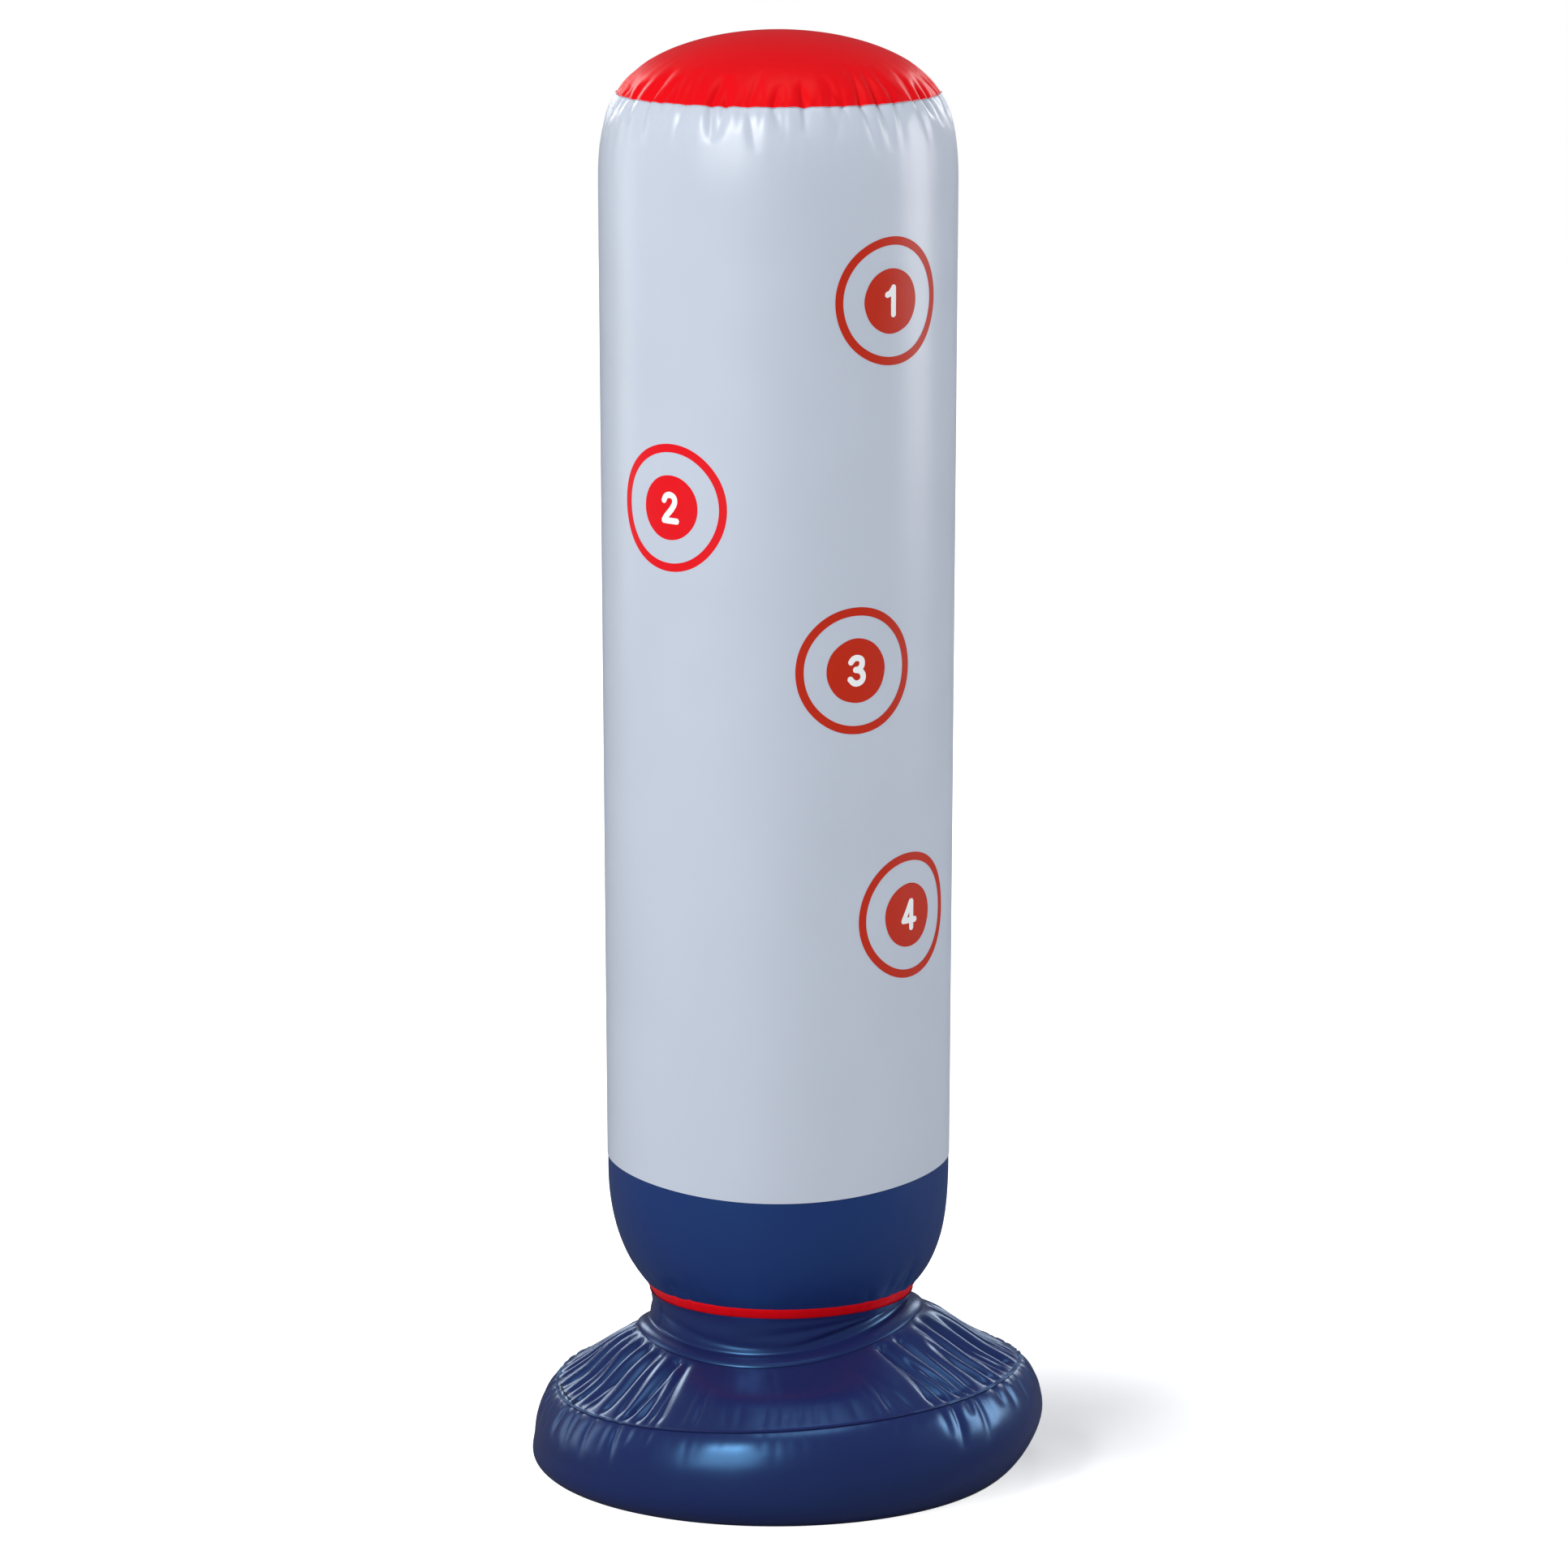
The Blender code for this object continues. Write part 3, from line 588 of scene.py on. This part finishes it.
red = vinyl("red_vinyl", (0.80, 0.003, 0.008), 0.38, 0.14, (1, 0.42, 0.28))
floor_radius = 0.1130
floor_height = 0.162224
floor_sag = 0.058
floor_turn = math.radians(75)
floor_rise = 1 - math.cos(floor_turn)
floor_path = [(floor_radius - 0.0002, floor_height + 0.006)]
for share in np.linspace(1, 0, 29):
    turn_there = floor_turn * share
    drop = floor_sag * (math.cos(turn_there) - math.cos(floor_turn)) / floor_rise
    floor_path.append((floor_radius * math.sin(turn_there) / math.sin(floor_turn), floor_height - drop))
floor_path = floor_path[::-1]
column_floor = lathe("column_floor_film", floor_path, steps=360)
turn = rings(column_floor, floor_path)[1]
places = points(column_floor)
strip_rng = np.random.default_rng(8)
ribs = gathers(strip_rng, count=84, deepest=0.0009, longest=0.020)
rim_away = np.maximum(0, floor_height - places[:, 2])
depth = drawn_in(turn, rim_away, floor_radius, ribs, 0.0022) * smooth_step(rim_away, 0, 0.003)
places[:, 0] += column_shift - depth * np.sin(turn)
places[:, 1] += depth * np.cos(turn)
put(column_floor, places)
face_out(column_floor, inside=0.3)
apply_modifier(column_floor, "SOLIDIFY", thickness=film, offset=-1)
dress(column_floor, red, "red_vinyl", "column_floor")
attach(column_floor, "column")


# The skirt is a band of darker navy film, cut to taper from the wall to the column's floor.
# Its foot is welded to the red floor, and the weld draws it into small uneven puckers.

skirt_navy = vinyl("skirt_navy_vinyl", (0.0145, 0.035, 0.153), 0.40, 0.60, navy_gloss)
wall_foot_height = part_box("column_wall")[0].z
wall_foot_radius = 0.1422
skirt_lap = 0.018
skirt_radius = wall_foot_radius - 2 * film
skirt_path = [tuple(p) for p in bezier((floor_radius, floor_height), (0.1290, floor_height + 0.0178),
                                       (skirt_radius, floor_height + 0.0450),
                                       (skirt_radius, wall_foot_height), 44)]
skirt_path += [(skirt_radius, wall_foot_height + skirt_lap)]
skirt = lathe("column_skirt_film", skirt_path, steps=576)
ring, turn = rings(skirt, skirt_path)
places = points(skirt)
lengths = np.r_[0, np.cumsum(np.linalg.norm(np.diff(np.array(skirt_path), axis=0), axis=1))]
skirt_rng = np.random.default_rng(21)
puckers = gathers(skirt_rng, count=46, deepest=0.0024, longest=0.050)
depth = drawn_in(turn, lengths[ring], np.array(skirt_path)[ring, 0], puckers, 0.0044)
depth *= gathered_side(turn) * (0.35 + 0.65 * smooth_step(lengths[ring], 0, 0.012))
out = faces_out(skirt_path)[ring]
places[:, 0] -= depth * out[:, 0] * np.sin(turn)
places[:, 1] += depth * out[:, 0] * np.cos(turn)
places[:, 0] += column_shift * (1 - smooth_step(places[:, 2], floor_height, wall_foot_height - 0.01))
places[:, 2] -= depth * out[:, 1]
put(skirt, places)
face_out(skirt, inside=0.25)
apply_modifier(skirt, "SOLIDIFY", thickness=film, offset=-1)
dress(skirt, skirt_navy, "skirt_blue_vinyl", "column_skirt")
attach(skirt, "column")


# The wall is a tall tube of pale film, and the top a flat red disc welded to its rim.
# Blown up, the disc domes and pulls the weld in, and the spare film on both sides of it buckles into puckers.
# Both are turned as one film, so that they match at the weld, then parted there and puckered.

white = vinyl("white_vinyl", (0.56, 0.61, 0.70), 0.32, 0.45)
wall_head_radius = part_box("column_wall")[1].x
top_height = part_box("top_panel")[1].z
top_seam_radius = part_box("top_panel")[1].x - fin_width
top_seam_height = (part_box("column_wall")[1].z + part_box("top_panel")[0].z) / 2
shoulder_height = 0.071
band_height = 0.130
can_steps = 288
disc_hub = 0.03


def wall_radius(height):
    """The wall's outer radius below its shoulder: it flares a little from its foot up."""
    share = (height - wall_foot_height) / (top_seam_height - shoulder_height - wall_foot_height)
    return wall_foot_radius + (wall_head_radius - wall_foot_radius) * min(1, share)


def spacing(length, fine, coarse, fine_stretch):
    """Distances from the weld, close together near it."""
    stops = [0.0]
    while stops[-1] < length:
        stops.append(stops[-1] + (fine if stops[-1] < fine_stretch else coarse))
    return np.array(stops) * length / stops[-1]


def along(path, distances):
    """Points on a path at these distances from its start."""
    path = np.array(path)
    lengths = np.r_[0, np.cumsum(np.linalg.norm(np.diff(path, axis=0), axis=1))]
    return np.column_stack([np.interp(distances, lengths, path[:, k]) for k in (0, 1)]), lengths[-1]


inset = wall_head_radius - top_seam_radius
shoulder_top = (top_seam_radius, top_seam_height)
shoulder_foot = (wall_head_radius, top_seam_height - shoulder_height)
shoulder_slope = math.radians(42)
shoulder_pull = 0.55 * inset
shoulder = bezier(shoulder_top, (top_seam_radius + shoulder_pull,
                                 top_seam_height - shoulder_pull / math.tan(shoulder_slope)),
                  (wall_head_radius, top_seam_height - 0.45 * shoulder_height), shoulder_foot, 60)
band_foot_height = top_seam_height - shoulder_height - 0.080
shoulder = np.vstack((shoulder, (wall_radius(band_foot_height), band_foot_height)))
dome_turn = math.radians(75)
dome_turns = np.linspace(dome_turn, 0, 80)
dome_rise = (np.cos(dome_turns) - math.cos(dome_turn)) / (1 - math.cos(dome_turn))
dome = np.column_stack((top_seam_radius * np.sin(dome_turns) / math.sin(dome_turn),
                        top_seam_height + (top_height - top_seam_height) * dome_rise))

down = spacing(band_height, 0.0035, 0.0060, 0.060)
inward = spacing(wall_head_radius * (1 - disc_hub), 0.0035, 0.0080, 0.060)[1:]
dome_length = along(dome, [0])[1]
lines = np.vstack((along(shoulder, down)[0][::-1], along(dome, inward * dome_length / wall_head_radius)[0]))
can_seam = len(down) - 1

can = lathe("top_film", [tuple(p) for p in lines], can_steps)
ring, turn = rings(can, lines)
can_rng = np.random.default_rng(3)
ripples = 54
ripple_height = 0.0010
ripple_reach = 0.018
ripple_gaps = can_rng.uniform(0.6, 1.4, ripples)
ripple_turns = np.r_[0, np.cumsum(ripple_gaps)] / ripple_gaps.sum() * math.tau - math.pi
ripple_depths = can_rng.uniform(0.3, 1, ripples + 1)
ripple_depths[-1] = ripple_depths[0]
phase = np.interp(turn, ripple_turns, np.arange(ripples + 1) * math.tau)
ripple = ripple_height * np.cos(phase) * np.interp(turn, ripple_turns, ripple_depths)
reach = np.r_[down[::-1], inward]
ripple *= np.exp(-reach[ring] / ripple_reach)
places = points(can)
on_wall = ring <= can_seam
places[:, 0] += np.where(on_wall, ripple, 0) * np.sin(turn)
places[:, 1] -= np.where(on_wall, ripple, 0) * np.cos(turn)
places[:, 2] += np.where(on_wall, 0, ripple)
put(can, places)

pick(can)
bpy.ops.object.mode_set(mode="EDIT")
bpy.ops.mesh.select_all(action="DESELECT")
bpy.ops.mesh.select_mode(type="VERT")
bpy.ops.object.mode_set(mode="OBJECT")
for vertex, place in zip(can.data.vertices, ring):
    vertex.select = bool(place <= can_seam)
bpy.ops.object.mode_set(mode="EDIT")
bpy.ops.mesh.separate(type="SELECTED")
bpy.ops.object.mode_set(mode="OBJECT")
wall = next(o for o in bpy.context.selected_objects if o is not can)
wall.name = "column_wall_film"
top = can


def rim_selected(piece, least_radius, height, is_above):
    """Opens the piece for editing with one open rim selected: outside a radius, above or below a height."""
    pick(piece)
    bpy.ops.object.mode_set(mode="EDIT")
    bpy.ops.mesh.select_all(action="DESELECT")
    bpy.ops.mesh.select_non_manifold(extend=False)
    bpy.ops.object.mode_set(mode="OBJECT")
    for vertex in piece.data.vertices:
        if (vertex.co.z > height) != is_above or vertex.co.xy.length < least_radius:
            vertex.select = False
    for edge in piece.data.edges:
        a, b = edge.vertices
        edge.select = edge.select and piece.data.vertices[a].select and piece.data.vertices[b].select
    bpy.ops.object.mode_set(mode="EDIT")


fine_folds = gathers(np.random.default_rng(9), count=66, deepest=0.0011, longest=0.034)
deep_folds = gathers(np.random.default_rng(4), count=44, deepest=0.0032, longest=0.046)
fine_width, deep_width = 0.0026, 0.0036
seam_dip = 0.5
dip_change = 0.010
for panel, dip in ((wall, 0.1), (top, 0.6)):
    apply_modifier(panel, "SUBSURF", levels=1, render_levels=1)
    places = points(panel)
    turn = np.arctan2(places[:, 0], -places[:, 1])
    radius = np.hypot(places[:, 0], places[:, 1])
    away = np.hypot(radius - top_seam_radius, places[:, 2] - top_seam_height)
    depth = drawn_in(turn, away, radius, fine_folds, fine_width)
    depth += drawn_in(turn, away, radius, deep_folds, deep_width)
    down_share = seam_dip + (dip - seam_dip) * smooth_step(away, 0, dip_change)
    places -= depth[:, None] * np.column_stack((np.sin(turn), -np.cos(turn), down_share))
    put(panel, places)
fin_growth = 1.008
for panel, lift in ((wall, -film), (top, film)):
    rim_selected(panel, top_seam_radius - 0.02, top_seam_height - 0.03, True)
    bpy.ops.mesh.extrude_edges_move(TRANSFORM_OT_translate={"value": (0, 0, lift)})
    bpy.ops.transform.resize(value=(fin_growth, fin_growth, 1), center_override=(0, 0, top_seam_height))
    bpy.ops.object.mode_set(mode="OBJECT")
rim_selected(top, 0, top_seam_height + 0.03, True)
bpy.ops.mesh.edge_face_add()
bpy.ops.object.mode_set(mode="OBJECT")

weld_lap_turn, weld_lap, weld_lap_edge, weld_lap_height = math.radians(155), 0.008, 0.0016, 0.0007
rim_selected(wall, 0, band_foot_height + 0.03, False)
wall_heights = np.linspace(points(wall)[:, 2].min(), wall_foot_height, 22)
for before, after in zip(wall_heights, wall_heights[1:]):
    grow = wall_radius(after) / wall_radius(before)
    bpy.ops.mesh.extrude_edges_move(TRANSFORM_OT_translate={"value": (0, 0, after - before)})
    bpy.ops.transform.resize(value=(grow, grow, 1), center_override=(0, 0, after))
bpy.ops.object.mode_set(mode="OBJECT")
places = points(wall)
turn = np.arctan2(places[:, 0], -places[:, 1])
lap_off = (turn - weld_lap_turn) * wall_head_radius
lap_end = smooth_step(lap_off, weld_lap, weld_lap + weld_lap_edge)
raised = weld_lap_height * smooth_step(lap_off, 0, weld_lap_edge) * (1 - lap_end)
places += raised[:, None] * np.column_stack((np.sin(turn), -np.cos(turn), np.zeros(len(turn))))
foot_lift = 0.0029 - 0.0056 * np.cos(2 * turn)
places[:, 2] += foot_lift * (1 - smooth_step(places[:, 2], wall_foot_height, wall_foot_height + 0.08))
put(wall, places)
for panel, inside in ((wall, 0.7), (top, 1.1)):
    face_out(panel, inside)
    apply_modifier(panel, "SOLIDIFY", thickness=film, offset=-1)

valve_place = Vector((0, 0.142867, 0.391224))
valve_hole_radius = 0.0097
bpy.ops.mesh.primitive_cylinder_add(vertices=64, radius=valve_hole_radius, depth=0.03, location=valve_place,
                                    rotation=(math.pi / 2, 0, 0))
valve_hole = bpy.context.object
apply_modifier(wall, "BOOLEAN", operation="DIFFERENCE", object=valve_hole, solver="FAST")
bpy.data.objects.remove(valve_hole)
dress(wall, white, "white_vinyl", "column_wall")
dress(top, red, "red_vinyl", "top_panel")
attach(wall, "column")
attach(top, "column")


# The targets are printed on the wall in red ink: a ring round a dot, with a plain number left bare in it.
# The ink is a thin satin layer that follows the film. Targets on the right get a browner copy as painted
# shade.

def ink(name, colour):
    """Satin printing ink."""
    return vinyl(name, colour, roughness=0.42, specular=0.2)


def wrap(piece, turn, height, lift):
    """Lays a flat drawing, in X and Z, on the wall at a turn from the front and a height."""
    places = points(piece)
    level = height + places[:, 2]
    radius = np.array([wall_radius(z) for z in level]) + lift
    there = turn + places[:, 0] / wall_radius(height)
    put(piece, np.column_stack((radius * np.sin(there), -radius * np.cos(there), level)))


def flat_disc(name, outer, inner, vertices):
    """A flat disc or ring in X and Z, with rings close enough to follow the wall."""
    bpy.ops.object.select_all(action="DESELECT")
    bpy.ops.mesh.primitive_circle_add(vertices=vertices, radius=outer, fill_type="NGON",
                                      rotation=(math.pi / 2, 0, 0))
    piece = bpy.context.object
    piece.name = name
    bpy.ops.object.transform_apply(location=True, rotation=True, scale=True)
    bpy.ops.object.mode_set(mode="EDIT")
    bpy.ops.mesh.select_mode(type="FACE")
    bpy.ops.mesh.select_all(action="SELECT")
    bands = 3 if inner else 9
    band_width = (outer - inner) / bands if inner else outer / (bands + 0.5)
    for _ in range(bands):
        bpy.ops.mesh.inset(thickness=band_width, use_boundary=True)
    if inner:
        bpy.ops.mesh.delete(type="FACE")
    bpy.ops.mesh.select_mode(type="VERT")
    bpy.ops.object.mode_set(mode="OBJECT")
    return piece


def number_mesh(name, lines):
    """A numeral in rounded strokes, in X and Z, cut from a grid whose rim is drawn to the strokes' edge."""
    marks = []
    for line in lines:
        line = np.array(line) * number_height
        for _ in range(2):
            middle = (line[1:] + line[:-1]) / 2
            cut = np.column_stack((middle * 0.5 + line[:-1] * 0.5, middle * 0.5 + line[1:] * 0.5))
            line = np.vstack((line[:1], cut.reshape(-1, 2), line[-1:]))
        t = np.linspace(0, 1, len(line))
        fine = np.linspace(0, 1, 90)
        marks.append(np.column_stack([np.interp(fine, t, line[:, k]) for k in (0, 1)]))
    marks = np.vstack(marks) - (0, number_height / 2)
    bpy.ops.object.select_all(action="DESELECT")
    bpy.ops.mesh.primitive_grid_add(x_subdivisions=48, y_subdivisions=60, size=1,
                                    rotation=(math.pi / 2, 0, 0))
    piece = bpy.context.object
    piece.name = name
    piece.scale = (0.024, 0.030, 1)
    bpy.ops.object.transform_apply(location=True, rotation=True, scale=True)

    def nearest(places):
        gaps = np.hypot(places[:, :1] - marks[:, 0], places[:, 2:] - marks[:, 1])
        return gaps.min(axis=1), marks[gaps.argmin(axis=1)]

    centres = np.array([f.center for f in piece.data.polygons])
    cut_away(piece, nearest(centres)[0] > stroke_half)
    places = points(piece)
    gaps, marked = nearest(places)
    for vertex, gap, mark in zip(piece.data.vertices, gaps, marked):
        if vertex.select:
            vertex.co.x = mark[0] + (vertex.co.x - mark[0]) * stroke_half / gap
            vertex.co.z = mark[1] + (vertex.co.z - mark[1]) * stroke_half / gap
    return piece


ring_radius, ring_stroke, dot_radius = 0.0518, 0.0068, 0.0263
number_height, stroke_half = 0.0265, 0.0025
red_ink = ink("red_ink", (0.80, 0.003, 0.009))
# a darker, browner copy of the red ink for the targets on the wall's shaded right side: painted shade
shaded_red_ink = ink("shaded_red_ink", (0.54, 0.022, 0.005))
bare_white = ink("bare_white", (0.92, 0.92, 0.92))
ink_lift, number_lift = 0.00012, 0.00022
# the numerals' strokes, in shares of their height
strokes = {1: (((-0.17, 0.70), (-0.07, 0.73), (0.05, 0.88)), ((0.06, 0.905), (0.06, 0.5), (0.06, 0.095))),
           2: (((-0.22, 0.72), (-0.15, 0.86), (0.01, 0.905), (0.17, 0.83), (0.20, 0.66), (0.08, 0.46),
                (-0.14, 0.24), (-0.22, 0.11)),
               ((-0.22, 0.11), (0.0, 0.10), (0.25, 0.095))),
           3: (((-0.20, 0.77), (-0.12, 0.88), (0.02, 0.905), (0.17, 0.84), (0.18, 0.65), (0.07, 0.54),
                (-0.04, 0.53)),
               ((-0.04, 0.53), (0.10, 0.51), (0.22, 0.38), (0.20, 0.20), (0.06, 0.105), (-0.10, 0.11),
                (-0.22, 0.24))),
           4: (((0.08, 0.905), (-0.07, 0.62), (-0.24, 0.33)), ((-0.24, 0.33), (0.0, 0.33), (0.27, 0.33)),
               ((0.11, 0.905), (0.11, 0.5), (0.11, 0.095)))}
# each target: its number, its turn from the front in degrees, its height and its ink
# targets 1, 3 and 4 stand on the right side and take the painted-shade ink
targets = ((1, 38.5, 0.9935, shaded_red_ink), (2, -36.8, 0.8270, red_ink), (3, 26.0, 0.6965, shaded_red_ink),
           (4, 47.8, 0.4895, shaded_red_ink))
wobble_rng = np.random.default_rng(17)
for number, turn_degrees, height, target_ink in targets:
    turn = math.radians(turn_degrees)
    drawn = [flat_disc(f"target_{number}_ring", ring_radius, ring_radius - ring_stroke, 160),
             flat_disc(f"target_{number}_dot", dot_radius, 0, 96)]
    for piece in drawn:
        places = points(piece)
        angle = np.arctan2(places[:, 2], places[:, 0])
        wobble = 1 + sum(wobble_rng.uniform(-0.004, 0.004) * np.cos(k * angle + wobble_rng.uniform(0, 6))
                         for k in (2, 3, 5, 8))
        put(piece, places * wobble[:, None])
        wrap(piece, turn, height, ink_lift)
    numeral = number_mesh(f"target_{number}_number", strokes[number])
    wrap(numeral, turn, height, number_lift)
    for piece, finish in ((drawn[0], target_ink), (drawn[1], target_ink), (numeral, bare_white)):
        dress(piece, finish, "white_vinyl" if piece is numeral else "red_vinyl")
        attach(piece, "column")


# The air valve is a moulded PVC stem that pushes in through a soft diaphragm, low on the back of the wall.
# A plug on a strap stops it, and a flap inside it holds the air. Its flange is welded under the wall.

air_across, air_out = (0, 0, -1), Vector((0, 1, 0))
air_rim = 0.0085
valve_steps = 72
air_bore, air_tube, air_length = 0.0043, 0.0062, 0.017
stem_outline = [(air_bore, 0.0018), (air_rim, 0.0018), (air_rim, 0), (air_tube, 0), (air_tube, -air_length),
                (air_bore, -air_length)]
air_stem = lathe("air_valve_stem_body", chamfered(stem_outline, 0.00025), valve_steps)
air_plug = lathe("air_valve_plug_body", plug_outline(head=0.0093, pin=0.0040, length=0.008), valve_steps)
air_strap = strap_mesh("air_valve_strap_band", air_rim)
skin_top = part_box("air_valve_diaphragm")[1].y - valve_place.y
skin_path = [(0.0065, skin_top - 0.008)]
skin_path += [tuple(p) for p in bezier((0.0066, skin_top - 0.0072), (0.0072, skin_top - 0.002),
                                       (0.0085, skin_top - 0.0004), (0.0099, skin_top), 8)]
skin_path += [(0.0121, skin_top)]
air_skin = lathe("air_valve_diaphragm_film", skin_path, valve_steps)
apply_modifier(air_skin, "SOLIDIFY", thickness=film, offset=-1)
air_pieces = {"air_valve_stem": air_stem, "air_valve_plug": air_plug, "air_valve_strap": air_strap,
              "air_valve_diaphragm": air_skin}
for node, piece in air_pieces.items():
    set_in(piece, valve_place, air_across, air_out)
    dress(piece, valve_white, "valve_vinyl", node)
for node in ("air_valve_flange", "air_valve_flap"):
    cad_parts[node].material_slots[0].material = valve_white
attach(air_stem, "air_stem")
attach(air_plug, "air_stopper")
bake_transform(air_strap)
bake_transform(air_skin)


# The floor is a plain pale disc in a white room, with a large softbox at the left front and others round it.
# It glows for the camera, less beside the base, so that it is white there and still keeps the shadow.
# The camera stands where the photograph was taken, with a long lens.

bpy.ops.object.select_all(action="DESELECT")
bpy.ops.mesh.primitive_circle_add(vertices=128, radius=9, fill_type="NGON", location=(0, 0, 0))
ground = bpy.context.object
ground.name = "floor"
paper = bpy.data.materials.new("pale_floor")
paper.use_nodes = True
nodes, links = paper.node_tree.nodes, paper.node_tree.links
nodes.remove(nodes["Principled BSDF"])
matte = nodes.new("ShaderNodeBsdfDiffuse")
seen = nodes.new("ShaderNodeLightPath")
shade = nodes.new("ShaderNodeMix")
shade.data_type = "RGBA"
shade.inputs["A"].default_value = (0.68, 0.68, 0.69, 1)
shade.inputs["B"].default_value = (0.14, 0.14, 0.15, 1)
links.new(seen.outputs["Is Glossy Ray"], shade.inputs["Factor"])
links.new(shade.outputs["Result"], matte.inputs["Color"])
glow = nodes.new("ShaderNodeEmission")
glow.inputs["Color"].default_value = (1, 1, 1, 1)
place = nodes.new("ShaderNodeTexCoord")
far = nodes.new("ShaderNodeVectorMath")
far.operation = "DISTANCE"
far.inputs[1].default_value = (0.25, 0.13, 0)
links.new(place.outputs["Object"], far.inputs[0])
wash = nodes.new("ShaderNodeMapRange")
wash.interpolation_type = "SMOOTHSTEP"
wash.inputs["From Min"].default_value = 0.02
wash.inputs["From Max"].default_value = 0.40
wash.inputs["To Min"].default_value = 0.28
wash.inputs["To Max"].default_value = 1.0
links.new(far.outputs["Value"], wash.inputs["Value"])
share = nodes.new("ShaderNodeMath")
share.operation = "MULTIPLY"
both = nodes.new("ShaderNodeAddShader")
links.new(seen.outputs["Is Camera Ray"], share.inputs[0])
links.new(wash.outputs["Result"], share.inputs[1])
links.new(share.outputs["Value"], glow.inputs["Strength"])
links.new(matte.outputs["BSDF"], both.inputs[0])
links.new(glow.outputs["Emission"], both.inputs[1])
links.new(both.outputs["Shader"], nodes["Material Output"].inputs["Surface"])
ground.data.materials.append(paper)

room = bpy.context.scene.world or bpy.data.worlds.new("room")
bpy.context.scene.world = room
room.use_nodes = True
nodes, links = room.node_tree.nodes, room.node_tree.links
air = nodes["Background"]
tone = nodes.new("ShaderNodeMix")
tone.data_type = "RGBA"
tone.inputs["A"].default_value = (0.86, 0.92, 1, 1)
tone.inputs["B"].default_value = (1, 1, 1, 1)
ray = nodes.new("ShaderNodeLightPath")
level = nodes.new("ShaderNodeMix")
level.data_type = "FLOAT"
level.inputs["A"].default_value = 0.27
level.inputs["B"].default_value = 1.0
links.new(ray.outputs["Is Camera Ray"], tone.inputs["Factor"])
links.new(tone.outputs["Result"], air.inputs["Color"])
links.new(ray.outputs["Is Camera Ray"], level.inputs["Factor"])
dim = nodes.new("ShaderNodeMix")
dim.data_type = "FLOAT"
dim.inputs["B"].default_value = 0.14
links.new(ray.outputs["Is Glossy Ray"], dim.inputs["Factor"])
links.new(level.outputs["Result"], dim.inputs["A"])
links.new(dim.outputs["Result"], air.inputs["Strength"])


def softbox(name, place, aim, width, height, power):
    """A rectangular lamp at a place, turned to a point."""
    bpy.ops.object.light_add(type="AREA", location=place)
    lamp = bpy.context.object
    lamp.name = name
    lamp.data.shape = "RECTANGLE"
    lamp.data.size = width
    lamp.data.size_y = height
    lamp.data.energy = power
    lamp.rotation_euler = (Vector(aim) - Vector(place)).to_track_quat("-Z", "Y").to_euler()


softbox("key_softbox", (-2.4, -3.8, 2.4), (0, 0, 0.6), width=2.4, height=2.4, power=97)
softbox("high_softbox", (-2.2, -3.0, 3.6), (0, 0, 0.6), width=0.85, height=0.85, power=62)
softbox("right_softbox", (3.3, 0.5, 1.4), (0, 0, 0.7), width=1.5, height=2.0, power=58)
softbox("left_rim_softbox", (-3.0, 1.2, 1.2), (0, 0, 0.6), width=1.0, height=2.0, power=12)
softbox("top_softbox", (0, -0.4, 4.4), (0, 0, 0), width=1.6, height=1.6, power=25)
softbox("back_left_softbox", (-2.3, 4.2, 2.3), (0, 0, 0.3), width=0.9, height=1.8, power=30)
softbox("back_right_softbox", (2.4, 4.2, 2.3), (0, 0, 0.3), width=0.9, height=1.8, power=30)

camera_place = (0.0047, -5.966, 1.6876)
camera_pitch = 0.1836
photo_width, focal_pixels = 1932, 9068
sensor_width = 36
bpy.ops.object.camera_add(location=camera_place, rotation=(math.pi / 2 - camera_pitch, 0, 0))
camera = bpy.context.object
camera.data.sensor_width = sensor_width
camera.data.lens = focal_pixels * sensor_width / photo_width
camera.data.clip_end = 60
bpy.context.scene.camera = camera
bpy.context.scene.view_settings.view_transform = "Standard"
